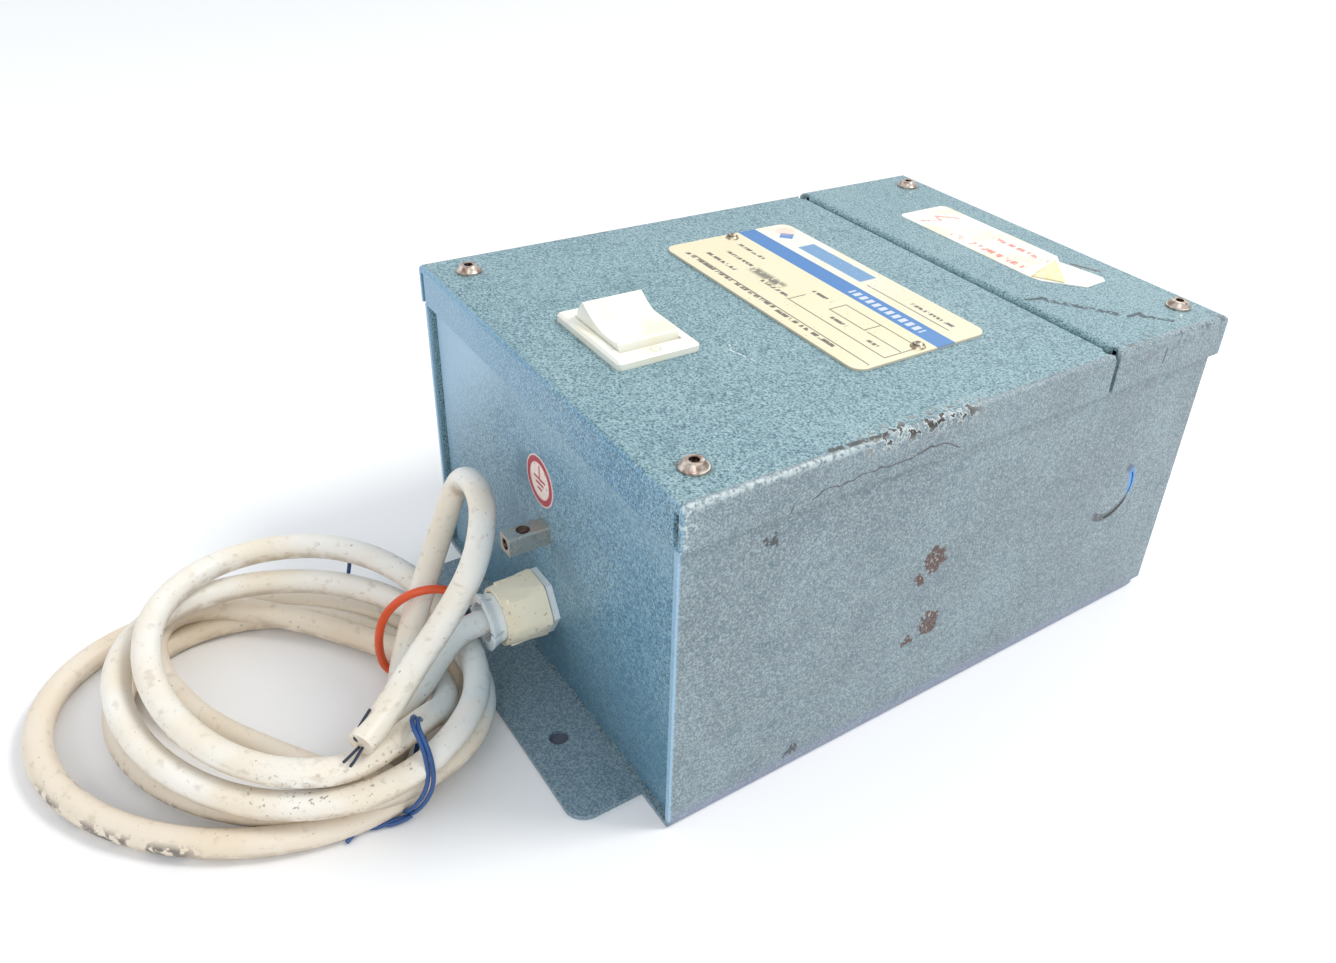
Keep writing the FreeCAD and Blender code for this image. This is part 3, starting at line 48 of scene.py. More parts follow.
# ---- procedural finishes ----------------------------------------------------------------
class Finish:
    """A Principled material with short ways to build the nodes before it.
    Positions are the row frame's, in millimetres."""

    def __init__(self, name, colour, roughness=0.5, metallic=0.0, **sockets):
        self.material = bpy.data.materials.new(name)
        self.material.use_nodes = True
        self.tree = self.material.node_tree
        self.shader = self.tree.nodes["Principled BSDF"]
        self.put("Base Color", colour)
        self.put("Roughness", roughness)
        self.put("Metallic", metallic)
        for socket, value in sockets.items():
            self.put(socket.replace("_", " "), value)
        self.parts = None

    def put(self, socket, value):
        self.link(value, self.shader.inputs[socket])

    def link(self, value, socket):
        if isinstance(value, bpy.types.NodeSocket):
            self.tree.links.new(value, socket)
        elif socket.type == "RGBA":
            socket.default_value = (*value, 1)
        else:
            socket.default_value = value

    def node(self, kind, **settings):
        made = self.tree.nodes.new(kind)
        for name, value in settings.items():
            setattr(made, name, value)
        return made

    def place(self):
        """The position as a vector, then its x, y and z."""
        if self.parts is None:
            coordinates = self.node("ShaderNodeTexCoord")
            scaled = self.node("ShaderNodeVectorMath", operation="SCALE")
            self.link(coordinates.outputs["Object"], scaled.inputs[0])
            scaled.inputs["Scale"].default_value = 1 / MM
            split = self.node("ShaderNodeSeparateXYZ")
            self.link(scaled.outputs[0], split.inputs[0])
            self.parts = (scaled.outputs[0], *split.outputs)
        return self.parts

    def math(self, operation, *values):
        made = self.node("ShaderNodeMath", operation=operation)
        for socket, value in zip(made.inputs, values):
            self.link(value, socket)
        return made.outputs[0]

    def times(self, first, *others):
        for other in others:
            first = self.math("MULTIPLY", first, other)
        return first

    def most(self, first, *others):
        for other in others:
            first = self.math("MAXIMUM", first, other)
        return first

    def smooth(self, value, low, high):
        """0 at low and 1 at high, eased between; low may be the larger one."""
        made = self.node("ShaderNodeMapRange", interpolation_type="SMOOTHSTEP")
        self.link(value, made.inputs["Value"])
        made.inputs["From Min"].default_value = low
        made.inputs["From Max"].default_value = high
        return made.outputs["Result"]

    def stretched(self, stretch):
        if stretch is None:
            return self.place()[0]
        made = self.node("ShaderNodeVectorMath", operation="MULTIPLY")
        self.link(self.place()[0], made.inputs[0])
        made.inputs[1].default_value = stretch
        return made.outputs[0]

    def noise(self, scale, detail=2.0, stretch=None):
        made = self.node("ShaderNodeTexNoise")
        self.link(self.stretched(stretch), made.inputs["Vector"])
        made.inputs["Scale"].default_value = scale
        made.inputs["Detail"].default_value = detail
        return made.outputs["Fac"]

    def cells(self, scale):
        made = self.node("ShaderNodeTexVoronoi")
        self.link(self.place()[0], made.inputs["Vector"])
        made.inputs["Scale"].default_value = scale
        return made.outputs["Distance"]

    def wander(self, scale, detail, reach):
        """Noise about zero, up to half of reach either way."""
        return self.times(self.math("SUBTRACT", self.noise(scale, detail), 0.5), reach)

    def mix(self, amount, first, second):
        made = self.node("ShaderNodeMix", data_type="RGBA")
        self.link(amount, made.inputs[0])
        self.link(first, made.inputs[6])
        self.link(second, made.inputs[7])
        return made.outputs[2]

    def span(self, value, low, high, soft=0.15):
        """1 between low and high, 0 outside."""
        return self.times(self.smooth(value, low - soft, low + soft),
                          self.smooth(value, high + soft, high - soft))

    def patch(self, u, v, middle, half, soft=0.15):
        """A rectangle in two coordinates."""
        return self.times(self.span(u, middle[0] - half[0], middle[0] + half[0], soft),
                          self.span(v, middle[1] - half[1], middle[1] + half[1], soft))

    def away(self, u, v, middle):
        """Distance from a point in two coordinates."""
        du = self.math("SUBTRACT", u, middle[0])
        dv = self.math("SUBTRACT", v, middle[1])
        return self.math("SQRT", self.math("ADD", self.times(du, du), self.times(dv, dv)))

    def stroke(self, u, v, start, end, width):
        """A line with soft ends between two points in two coordinates."""
        du, dv = end[0] - start[0], end[1] - start[1]
        length2 = du * du + dv * dv
        pu = self.math("SUBTRACT", u, start[0])
        pv = self.math("SUBTRACT", v, start[1])
        along = self.math("ADD", self.math("MULTIPLY", pu, du / length2),
                          self.math("MULTIPLY", pv, dv / length2))
        along = self.math("MINIMUM", self.math("MAXIMUM", along, 0.0), 1.0)
        off_u = self.math("SUBTRACT", pu, self.math("MULTIPLY", along, du))
        off_v = self.math("SUBTRACT", pv, self.math("MULTIPLY", along, dv))
        off = self.math("SQRT", self.math("ADD", self.times(off_u, off_u), self.times(off_v, off_v)))
        return self.smooth(off, width, width * 0.4)

    def bump(self, height, distance, strength=1.0):
        made = self.node("ShaderNodeBump")
        self.link(height, made.inputs["Height"])
        made.inputs["Distance"].default_value = distance
        made.inputs["Strength"].default_value = strength
        self.put("Normal", made.outputs["Normal"])


def finished(f, colour):
    f.put("Base Color", colour)
    return f.material


# ---- paint ------------------------------------------------------------------------------
TEAL = (0.195, 0.33, 0.37)
TEAL_LIGHT = (0.38, 0.52, 0.55)
TEAL_DARK = (0.060, 0.135, 0.17)
# Painted shade: the paint's tone on the front and back faces, then on the side faces.
SHADED_ENDS_BLUE = (0.10, 0.275, 0.44)
SHADED_SIDE_GREY = (0.195, 0.235, 0.262)
# Bare worn metal, also used for the painted highlight on the top side edges.
BARE_AND_SHEEN = (0.62, 0.70, 0.70)
GRIME = (0.045, 0.04, 0.035)

# Cover screws, either side of the middle: x and y.
FRONT_SCREW, REAR_SCREW = (62.6, -89.7), (62.6, 91.4)
# Cracks on the covers' right side: start and end in y and z, and width.
CRACKS = (((-63.7, 94.2), (-61.0, 95.5), 0.4), ((-61.0, 95.5), (-38.0, 95.9), 0.26),
          ((-38.0, 95.9), (-19.7, 96.6), 0.36), ((-19.7, 96.6), (-14.8, 94.0), 0.3),
          ((-70.6, 91.0), (-69.3, 95.3), 0.3), ((-33.5, 92.2), (-29.0, 90.3), 0.45),
          ((70.7, 101.3), (70.3, 97.2), 0.5))
# Pen strokes on the rear cover: start and end in x and y.
PEN_STROKES = (((35.7, 50.9), (38.0, 57.0)), ((37.0, 56.5), (40.0, 56.0)),
               ((59.7, 70.4), (59.9, 75.5)), ((59.9, 75.5), (62.5, 74.5)))
# Chips on the right wall: middle in y and z, and radius. The knockout is there too.
CHIPS = (((-14.0, 55.5), 4.2), ((-19.0, 50.0), 1.5), ((-11.8, 31.2), 3.9), ((-20.0, 27.0), 1.8),
         ((-60.0, 6.0), 1.6), ((-74.0, 84.8), 1.3))
KNOCKOUT = (65.5, 50.5)


def speckle_of(f):
    """The enamel's fine light and dark speckle."""
    return f.noise(1.75, 3.0)


def off_screws(f, x, y):
    """Distance from the nearest cover screw."""
    wide = f.math("ABSOLUTE", x)
    return f.math("MINIMUM", f.away(wide, y, FRONT_SCREW), f.away(wide, y, REAR_SCREW))


def paint(name, side=None):
    """Hammered enamel with a fine light and dark speckle. side is a panel's tone, made bluer as painted
    shade, or None for covers and walls, where the tone follows the face as painted light and shade."""
    f = Finish(name, TEAL, roughness=0.42, Coat_Weight=0.12, Coat_Roughness=0.25)
    _, x, y, _ = f.place()
    speckle = speckle_of(f)
    grain = f.cells(1.15)
    broad = f.noise(0.028, 3.0)
    strong = 1.0
    if side:
        base = side
    else:
        wide = f.math("ABSOLUTE", x)
        # Painted light and shade by face: the sides shaded grey, the front and back shaded blue.
        base = f.mix(f.smooth(wide, 72.6, 73.4), TEAL, SHADED_SIDE_GREY)
        strong = f.math("ADD", 0.72, f.times(f.smooth(wide, 73.4, 72.6), 0.40))
        base = f.mix(f.smooth(f.math("ABSOLUTE", y), 99.6, 100.4), base, SHADED_ENDS_BLUE)
    base = f.mix(f.times(f.smooth(broad, 0.35, 0.7), 0.22), base, TEAL_LIGHT)
    base = f.mix(f.times(f.smooth(speckle, 0.52, 0.63), strong, 0.72), base, TEAL_LIGHT)
    base = f.mix(f.times(f.smooth(speckle, 0.48, 0.37), strong, 0.88), base, TEAL_DARK)
    base = f.mix(f.times(f.smooth(f.noise(0.33, 3.0), 0.55, 0.68), 0.3), base, TEAL_DARK)
    base = f.mix(f.times(f.smooth(f.noise(0.07, 4.0), 0.58, 0.78), 0.2), base, TEAL_DARK)
    f.bump(f.math("ADD", f.times(grain, 0.7), speckle), 0.00022, 0.55)
    return f, base


def cover_paint(name):
    """Paint with bare and battered edges, a painted highlight along the top side edges, painted light on the
    front lip, a painted bluish reflection on the front fold, greasy screw seats, scrapes and cracks.
    """
    f, base = paint(name)
    _, x, y, z = f.place()
    # The top side edges: bare worn metal with a painted highlight, strongest towards the front.
    edge = f.smooth(f.math("ADD", f.math("ABSOLUTE", x), z), 177.9, 178.9)
    front = f.smooth(f.math("SUBTRACT", z, y), 203.9, 205.0)
    ragged = f.smooth(f.noise(0.55, 4.0), 0.40, 0.60)
    forward = f.math("ADD", f.times(f.smooth(y, -35, -60), 0.8), 0.15)
    base = f.mix(f.times(edge, forward, f.smooth(f.noise(0.7, 4.0), 0.40, 0.56), 0.85), base, BARE_AND_SHEEN)
    # Painted light on the front lip, brighter to the left, and a painted bluish reflection along the front
    # fold.
    lit_front = f.times(f.smooth(y, -99.4, -100.2), f.smooth(x, 30.0, -60.0))
    base = f.mix(f.times(lit_front, 0.55), base, (0.27, 0.48, 0.66))
    base = f.mix(f.times(front, ragged, 0.5), base, (0.22, 0.46, 0.62))
    band = f.smooth(f.math("ADD", x, z), 173.0, 178.5)
    battered = f.times(band, f.span(y, -47, -9, 6))
    base = f.mix(f.times(battered, f.smooth(f.noise(0.42, 5.0), 0.47, 0.51), 0.7), base, BARE_AND_SHEEN)
    base = f.mix(f.times(battered, f.smooth(f.noise(0.42, 5.0), 0.525, 0.55)), base, GRIME)
    rub = f.times(f.stroke(x, y, (72.6, -58.0), (73.6, -41.0), 1.1),
                  f.smooth(f.noise(1.0, 4.0), 0.38, 0.48))
    base = f.mix(f.times(rub, 0.9), base, GRIME)
    greasy = f.times(f.smooth(off_screws(f, x, y), 5.6, 4.0),
                     f.smooth(f.noise(0.3, 3.0), 0.35, 0.6))
    base = f.mix(f.times(greasy, 0.5), base, (0.10, 0.12, 0.11))
    worn_corner = f.smooth(f.away(x, y, (75, -100)), 6.0, 1.0)
    base = f.mix(f.times(worn_corner, f.smooth(f.noise(0.8, 4.0), 0.52, 0.6), 0.6), base, BARE_AND_SHEEN)
    scrape = f.most(f.stroke(x, y, (12.5, -46.0), (18.0, -48.5), 0.35),
                    f.stroke(x, y, (17.5, -49.5), (27.0, -47.0), 0.3))
    base = f.mix(f.times(scrape, f.smooth(f.noise(0.9), 0.42, 0.5)), base, BARE_AND_SHEEN)
    dark = f.most(f.stroke(x, y, (19.5, -45.0), (25.0, -48.0), 0.3),
                  f.stroke(x, y, (60, 10), (67, 22), 0.3))
    base = f.mix(f.times(dark, 0.7), base, TEAL_DARK)
    side = f.smooth(x, 73.2, 74.4)
    wavy = f.math("ADD", z, f.wander(0.16, 3.0, 4.0))
    crack = f.most(*[f.stroke(y, wavy, start, end, width) for start, end, width in CRACKS],
                   f.stroke(y, z, (67.5, 92.2), (68.3, 91.8), 0.6))
    base = f.mix(f.times(side, crack, 0.85), base, GRIME)
    return f, base


def scribble(f, base):
    """Dark pen strokes without meaning, and rubbed paint, on the rear cover."""
    _, x, y, z = f.place()
    shaken = f.math("ADD", y, f.wander(0.6, 2.0, 3.0))
    ink = f.most(*[f.stroke(x, shaken, start, end, 1.05) for start, end in PEN_STROKES])
    blotted = f.most(f.stroke(x, y, (41.0, 57.8), (56.5, 68.3), 1.9),
                     f.stroke(x, y, (62.5, 75.5), (68.3, 80.4), 1.5))
    ink = f.most(ink, f.times(blotted, f.smooth(f.noise(0.75, 2.0), 0.43, 0.48)))
    base = f.mix(f.times(ink, f.smooth(f.noise(0.8, 3.0), 0.26, 0.34), 0.95), base, (0.03, 0.055, 0.07))
    scuff = f.times(f.stroke(x, y, (23.1, 87.8), (31.4, 91.1), 1.1), f.smooth(f.noise(0.9, 3.0), 0.34, 0.42))
    base = f.mix(f.times(scuff, 0.95), base, (0.10, 0.075, 0.06))
    rubbed = f.times(f.smooth(f.math("ADD", x, z), 173.0, 178.0), f.smooth(y, 46, 52))
    return f.mix(f.times(rubbed, f.smooth(f.noise(0.45, 4.0), 0.585, 0.62), 0.7), base, (0.10, 0.11, 0.12))


def rear_cover_paint():
    f, base = cover_paint("paint_rear_cover")
    return finished(f, scribble(f, base))


def wall_paint(name):
    """Paint with chips and a knockout's seam on the right wall; the seam has a painted highlight and painted
    shade, the bottom bend a painted bluish sheen, the front edges a pale painted highlight and the tabs a
    greyer painted shade.
    """
    f, base = paint(name)
    _, x, y, z = f.place()
    right = f.smooth(x, 72.0, 73.0)
    for middle, radius in CHIPS:
        ragged = f.math("ADD", f.away(y, z, middle), f.wander(0.38, 4.0, 9.0))
        chip = f.times(right, f.smooth(ragged, radius + 0.3, radius - 0.2))
        base = f.mix(f.times(chip, f.smooth(f.noise(0.8, 3.0), 0.36, 0.42)), base,
                     f.mix(f.smooth(y, -55, -45), (0.05, 0.06, 0.065), (0.085, 0.04, 0.03)))
        base = f.mix(f.times(chip, f.smooth(f.noise(0.8, 3.0), 0.60, 0.64), 0.8), base, (0.40, 0.40, 0.36))
    # The knockout's seam: a painted highlight on its lit side, painted shade at its low end and its top end.
    ring = f.away(y, z, KNOCKOUT)
    seam = f.times(right, f.span(ring, 8.3, 11.1, 0.3))
    lit = f.times(seam, f.smooth(f.math("SUBTRACT", y, z), 13.0, 19.0), f.smooth(z, 45, 50))
    base = f.mix(f.times(lit, 0.9), base, (0.07, 0.30, 0.68))
    low = f.times(seam, f.smooth(z, 46.5, 43.5), f.smooth(y, 57, 60))
    base = f.mix(f.times(low, f.smooth(f.noise(0.9, 3.0), 0.34, 0.44)), base, (0.08, 0.09, 0.10))
    seam_end_shade = f.times(seam, f.smooth(f.away(y, z, (72.0, 57.6)), 2.6, 1.2))
    base = f.mix(f.times(seam_end_shade, 0.7), base, (0.06, 0.09, 0.16))
    # Painted bluish sheen on the bottom bend of the right wall.
    base = f.mix(f.times(right, f.smooth(z, 7.0, 1.0), 0.55), base, (0.24, 0.26, 0.40))
    # Painted highlight on the front edges.
    front_edge_highlight = f.smooth(y, -99.3, -100.0)
    base = f.mix(f.times(front_edge_highlight, 0.7), base, (0.35, 0.55, 0.72))
    # Painted shade on the tabs at the foot, front and back.
    shaded_foot = f.times(f.smooth(z, 3.0, 2.0), f.smooth(f.math("ABSOLUTE", y), 98, 99))
    shaded_foot_tone = f.mix(f.smooth(speckle_of(f), 0.4, 0.62), (0.095, 0.145, 0.175), (0.24, 0.31, 0.34))
    base = f.mix(f.times(shaded_foot, 0.8), base, shaded_foot_tone)
    scuff = f.times(f.smooth(f.noise(0.06, 4.0, stretch=(1, 1, 3)), 0.60, 0.70),
                    f.smooth(f.noise(1.6, 2.0), 0.5, 0.6))
    base = f.mix(f.times(scuff, 0.5), base, TEAL_DARK)
    return f, base


def panel_paint(name):
    """Paint made bluer as painted shade, with painted shade low down, painted shadows of the gland and cord
    round the gland, a darker patch left of the earth mark, and painted light at the top left.
    """
    # The panel's tone is bluer than the paint as painted shade.
    f, base = paint(name, (0.12, 0.285, 0.425))
    _, x, y, z = f.place()
    # Painted shade low down, painted light near the top.
    base = f.mix(f.times(f.smooth(z, 55, 15), 0.5), base, (0.075, 0.185, 0.27))
    base = f.mix(f.times(f.smooth(z, 70, 98), 0.45), base, (0.30, 0.47, 0.58))
    outside = f.smooth(y, -90, -95)
    # A darker patch left of the earth mark.
    dark_patch_by_mark = f.math("ADD", f.away(x, z, (-9.5, 67.0)), f.times(f.noise(0.2, 3.0), 8.0))
    base = f.mix(f.times(f.smooth(dark_patch_by_mark, 13.5, 7.5), outside, 0.6), base, (0.07, 0.17, 0.24))
    # Painted shadows of the gland and the cord: middle in x and z, reach and amount.
    for middle, reach, amount in (((14, 47), 9.0, 0.35), ((0, 12), 16.0, 0.35), ((-14, 44), 10.0, 0.4)):
        cord_and_gland_shadow = f.math("ADD", f.away(x, z, middle), f.times(f.noise(0.15, 3.0), 8.0))
        cord_and_gland_shadow = f.smooth(cord_and_gland_shadow, reach + 6, reach - 2)
        base = f.mix(f.times(cord_and_gland_shadow, outside, amount), base, (0.09, 0.19, 0.27))
    light = f.smooth(f.math("SUBTRACT", z, x), 96.0, 136.0)
    base = f.mix(f.times(light, 0.75), base, (0.37, 0.57, 0.74))
    return f, base


# ---- print ------------------------------------------------------------------------------
# The form's rules and its broken rows: middle and half size in x and y.
RULES = (((2.0, -22.0), (43.12, 0.24)), ((22.0, -15.5), (22.12, 0.24)), ((28.0, -9.0), (16.12, 0.24)),
         ((28.0, -2.5), (16.12, 0.24)), ((12.2, -5.8), (0.24, 3.42)), ((28.0, -5.8), (0.24, 3.42)),
         ((44.0, -9.0), (0.24, 6.62)), ((0.5, -12.2), (0.24, 3.42)), ((22.0, 13.0), (18.12, 0.24)))
ROWS = (((-20.0, -23.0), (24.0, 0.75)), ((-33.0, -17.0), (8.0, 0.75)), ((-32.0, -10.5), (7.0, 0.7)),
        ((-35.0, -3.5), (7.0, 0.7)), ((18.0, -23.5), (14.0, 0.75)), ((4.0, -5.0), (4.5, 0.7)),
        ((20.0, -12.0), (3.5, 0.7)), ((36.0, -12.5), (2.5, 0.7)), ((30.0, 16.0), (9.0, 0.7)),
        ((-8.0, -14.5), (7.0, 0.7)))


def nameplate_print():
    """Cream form in front, blue band, white band behind; the print is lines and blocks only."""
    f = Finish("nameplate_print", (0.8, 0.76, 0.6), roughness=0.36, Coat_Weight=0.2)
    _, x, y, z = f.place()
    cream, white = (0.84, 0.76, 0.53), (0.86, 0.84, 0.74)
    blue, ink = (0.045, 0.20, 0.50), (0.055, 0.05, 0.045)
    base = f.mix(f.smooth(y, 9.0, 9.4), cream, f.mix(f.smooth(x, -28, 22), white, (0.80, 0.74, 0.55)))
    base = f.mix(f.times(f.smooth(f.noise(0.05, 3.0), 0.4, 0.65), 0.5), base, (0.84, 0.74, 0.48))
    base = f.mix(f.smooth(f.noise(0.9, 3.0), 0.66, 0.72), base, (0.50, 0.44, 0.32))
    worn = f.smooth(f.noise(0.7, 4.0), 0.20, 0.28)
    band = f.times(f.span(y, 2.2, 9.2), f.span(x, -60, 60))
    base = f.mix(f.times(band, worn), base, blue)
    block = f.patch(x, y, (-15.0, 16.0), (16.0, 3.4), 0.3)
    base = f.mix(f.times(block, f.smooth(f.noise(0.6, 4.0), 0.26, 0.34), 0.9), base, (0.07, 0.26, 0.52))
    ticks = f.times(f.patch(x, y, (21.0, 5.6), (16.0, 1.5), 0.2),
                    f.smooth(f.math("FRACT", f.math("MULTIPLY", x, 0.34)), 0.34, 0.40))
    base = f.mix(f.times(ticks, 0.75), base, (0.80, 0.82, 0.80))
    badge = f.times(f.smooth(f.math("ADD", f.math("ABSOLUTE", f.math("SUBTRACT", x, -41.0)),
                                    f.math("ABSOLUTE", f.math("SUBTRACT", y, 15.5))), 3.4, 3.0), worn)
    base = f.mix(badge, base, (0.10, 0.25, 0.55))
    wash = f.smooth(f.away(x, y, (-44.5, 17.5)), 4.5, 2.5)
    base = f.mix(f.times(wash, 0.35), base, (0.75, 0.45, 0.35))
    lines = f.most(*[f.patch(x, y, middle, half) for middle, half in RULES])
    base = f.mix(f.times(lines, f.smooth(f.noise(0.5, 3.0), 0.25, 0.38), 0.85), base, ink)
    dashes = f.smooth(f.noise(0.9, 1.0, stretch=(1.0, 0.3, 1.0)), 0.44, 0.49)
    rows = f.most(*[f.patch(x, y, middle, half, 0.2) for middle, half in ROWS])
    base = f.mix(f.times(rows, dashes, 0.9), base, ink)
    smear = f.times(f.patch(x, y, (-15.5, -11.5), (8.0, 1.8), 1.2),
                    f.smooth(f.noise(0.55, 4.0, stretch=(1, 0.5, 1)), 0.40, 0.48))
    base = f.mix(f.times(smear, 0.85), base, (0.09, 0.09, 0.07))
    rim = f.smooth(z, 105.5, 105.35)
    base = f.mix(f.times(rim, 0.8), base, (0.55, 0.50, 0.42))
    f.bump(f.noise(0.12, 2.0), 0.0004, 0.25)
    return finished(f, base)


def label_print():
    """Yellowed paper with a red zigzag and two worn red rows without words."""
    f = Finish("label_print", (0.9, 0.88, 0.8), roughness=0.55)
    _, x, y, _ = f.place()
    base = f.mix(f.smooth(f.noise(0.05, 3.0), 0.4, 0.7), (0.90, 0.89, 0.84), (0.86, 0.80, 0.62))
    red = (0.72, 0.13, 0.10)
    marks = f.most(f.stroke(x, y, (-30.6, 69.3), (-27.5, 75.5), 0.9),
                   f.stroke(x, y, (-27.5, 75.5), (-32.0, 77.0), 0.9),
                   f.stroke(x, y, (-32.0, 77.0), (-26.4, 83.4), 0.9))
    rows = f.most(*[f.patch(x, y, middle, half, 0.4) for middle, half in (
        ((6.0, 81.0), (12.5, 1.2)), ((3.0, 70.0), (19.0, 1.5)))])
    worn = f.smooth(f.noise(0.75, 3.0, stretch=(1.0, 0.4, 1.0)), 0.47, 0.56)
    base = f.mix(f.times(marks, f.smooth(f.noise(0.8, 3.0), 0.35, 0.5), 0.7), base, red)
    base = f.mix(f.times(rows, worn, 0.8), base, red)
    base = f.mix(f.times(f.smooth(f.noise(0.5, 4.0), 0.62, 0.7), 0.5), base, (0.52, 0.50, 0.44))
    torn = f.smooth(x, 17.0, 19.0)
    base = f.mix(f.times(torn, 0.8), base, (0.92, 0.90, 0.82))
    return finished(f, base)


def earth_disc():
    """Red ring on a pale disc with a plain earth mark: a stem and three bars."""
    f = Finish("earth_disc", (0.85, 0.8, 0.75), roughness=0.45)
    _, x, _, z = f.place()
    middle = (0.4, 67.8)
    off = f.away(x, z, middle)
    red = (0.42, 0.035, 0.05)
    base = f.mix(f.smooth(off, 5.35, 5.65), (0.86, 0.72, 0.66), red)
    base = f.mix(f.span(off, 7.55, 9.0, 0.1), base, (0.75, 0.62, 0.60))
    base = f.mix(f.span(off, 5.5, 5.75, 0.08), base, (0.80, 0.60, 0.58))
    bars = f.most(f.patch(x, z, (0.4, 70.8), (0.35, 2.0), 0.1), f.patch(x, z, (0.4, 68.4), (3.4, 0.38), 0.1),
                  f.patch(x, z, (0.4, 66.8), (2.4, 0.38), 0.1), f.patch(x, z, (0.4, 65.2), (1.4, 0.38), 0.1))
    base = f.mix(bars, base, red)
    base = f.mix(f.times(f.smooth(f.noise(0.6, 4.0), 0.58, 0.7), 0.45), base, (0.30, 0.14, 0.14))
    return finished(f, base)


# ---- plastics, metals and the rest ------------------------------------------------------
def plastic(name, colour, second, roughness, mottling=0.5, grain=0.08, bump=0.00008, **sockets):
    """One colour clouded by a second, with a faint unevenness."""
    f = Finish(name, colour, roughness=roughness, **sockets)
    base = f.mix(f.times(f.smooth(f.noise(grain, 4.0), 0.4, 0.68), mottling), colour, second)
    f.bump(f.noise(2.5, 3.0), bump, 0.4)
    return f, base


def ivory():
    f, base = plastic("ivory_gloss", (0.90, 0.89, 0.80), (0.88, 0.82, 0.60), 0.28, mottling=0.6,
                      Coat_Weight=0.2, Subsurface_Weight=0.05, Subsurface_Radius=(0.003, 0.002, 0.001))
    _, x, y, z = f.place()
    off = f.away(x, y, (12.6, -69.3))
    mark = f.times(f.span(off, 1.15, 1.6, 0.12), f.smooth(z, 106.4, 106.9))
    base = f.mix(f.times(mark, 0.35), base, (0.35, 0.33, 0.28))
    # Darker and yellower low on the switch, where it meets the cover: painted shade.
    dirt = f.times(f.smooth(z, 105.5, 104.9), 0.2)
    base = f.mix(dirt, base, (0.45, 0.42, 0.33))
    return finished(f, base)


def nylon():
    f, base = plastic("cream_nylon", (0.98, 0.90, 0.70), (0.94, 0.80, 0.56), 0.4, mottling=0.7)
    grime = f.times(f.smooth(f.noise(0.6, 4.0), 0.64, 0.70), 0.5)
    base = f.mix(grime, base, (0.20, 0.15, 0.10))
    return finished(f, base)


def sheath():
    """Ivory PVC: tan soiling low down, a darker tan underneath that is partly soiling and partly painted
    shade, painted bluish shade near the box, dark rubbed spots on the outer turn.
    """
    f = Finish("cord_sheath", (0.84, 0.81, 0.74), roughness=0.4, Subsurface_Weight=0.04,
               Subsurface_Radius=(0.003, 0.002, 0.001))
    _, x, y, z = f.place()
    low = f.smooth(z, 21.0, 6.0)
    broad = f.smooth(f.noise(0.035, 3.0), 0.38, 0.66)
    base = f.mix(f.times(broad, 0.65), (0.88, 0.86, 0.80), (0.80, 0.68, 0.50))
    base = f.mix(f.times(low, 0.6), base, (0.74, 0.60, 0.43))
    # Painted shade with a blue reflection from the box on the lead near the gland.
    box_blue_reflection = f.times(f.smooth(y, -149, -138), f.smooth(z, 34, 28), f.smooth(z, 8, 12),
                       f.smooth(x, -6, 0), f.smooth(x, 26, 20))
    base = f.mix(f.times(box_blue_reflection, 0.7), base, (0.74, 0.82, 0.84))
    streak = f.smooth(f.noise(0.32, 4.0, stretch=(1, 1, 2)), 0.56, 0.72)
    base = f.mix(f.times(streak, 0.35), base, (0.48, 0.40, 0.30))
    # The underside darker: partly soiling, partly painted shade.
    facing = f.node("ShaderNodeSeparateXYZ")
    f.link(f.node("ShaderNodeNewGeometry").outputs["Normal"], facing.inputs[0])
    painted_shade_under = f.smooth(facing.outputs["Z"], 0.30, -0.30)
    base = f.mix(f.times(painted_shade_under, f.smooth(f.noise(0.2, 4.0), 0.30, 0.60), 0.6), base, (0.46, 0.36, 0.26))
    speck = f.smooth(f.noise(0.95, 3.0), 0.70, 0.75)
    base = f.mix(f.times(speck, 0.7), base, (0.12, 0.09, 0.07))
    outer = f.times(f.smooth(y, -200, -208), f.smooth(z, 7.0, 4.5), f.smooth(x, -26, -18))
    rubbed = f.times(outer, f.smooth(f.noise(0.4, 5.0), 0.44, 0.50), f.smooth(f.noise(0.12, 2.0), 0.43, 0.50))
    inner = f.times(f.span(x, 2, 38, 5), f.span(y, -190, -150, 3), f.span(z, 12, 23, 3))
    rubbed = f.most(rubbed, f.times(inner, f.smooth(f.noise(0.8, 5.0), 0.61, 0.66), 0.7))
    base = f.mix(f.times(rubbed, 0.85), base, (0.10, 0.08, 0.07))
    f.bump(f.noise(1.3, 3.0), 0.0001, 0.5)
    return finished(f, base)


def metal(name, colour, roughness, dirt=0.3, tarnish=(0.25, 0.22, 0.17), scale=0.5):
    """Bare or plated metal with duller, rougher tarnished patches."""
    f = Finish(name, colour, roughness=roughness, metallic=1.0)
    stain = f.smooth(f.noise(scale, 4.0), 0.48, 0.68)
    f.put("Roughness", f.math("ADD", roughness, f.times(stain, 0.22)))
    f.bump(f.noise(2.0, 3.0), 0.00005, 0.5)
    return finished(f, f.mix(f.times(stain, dirt), colour, tarnish))


def laminations():
    f = Finish("laminations", (0.2, 0.2, 0.21), roughness=0.5, metallic=0.6)
    _, _, y, _ = f.place()
    sheet = f.math("ABSOLUTE", f.math("SUBTRACT", f.math("FRACT", f.math("MULTIPLY", y, 1.6)), 0.5))
    base = f.mix(f.smooth(sheet, 0.36, 0.48), (0.24, 0.23, 0.23), (0.06, 0.055, 0.05))
    base = f.mix(f.times(f.smooth(f.noise(0.15, 4.0), 0.5, 0.7), 0.5), base, (0.22, 0.11, 0.05))
    f.bump(sheet, 0.0001, 0.5)
    return finished(f, base)


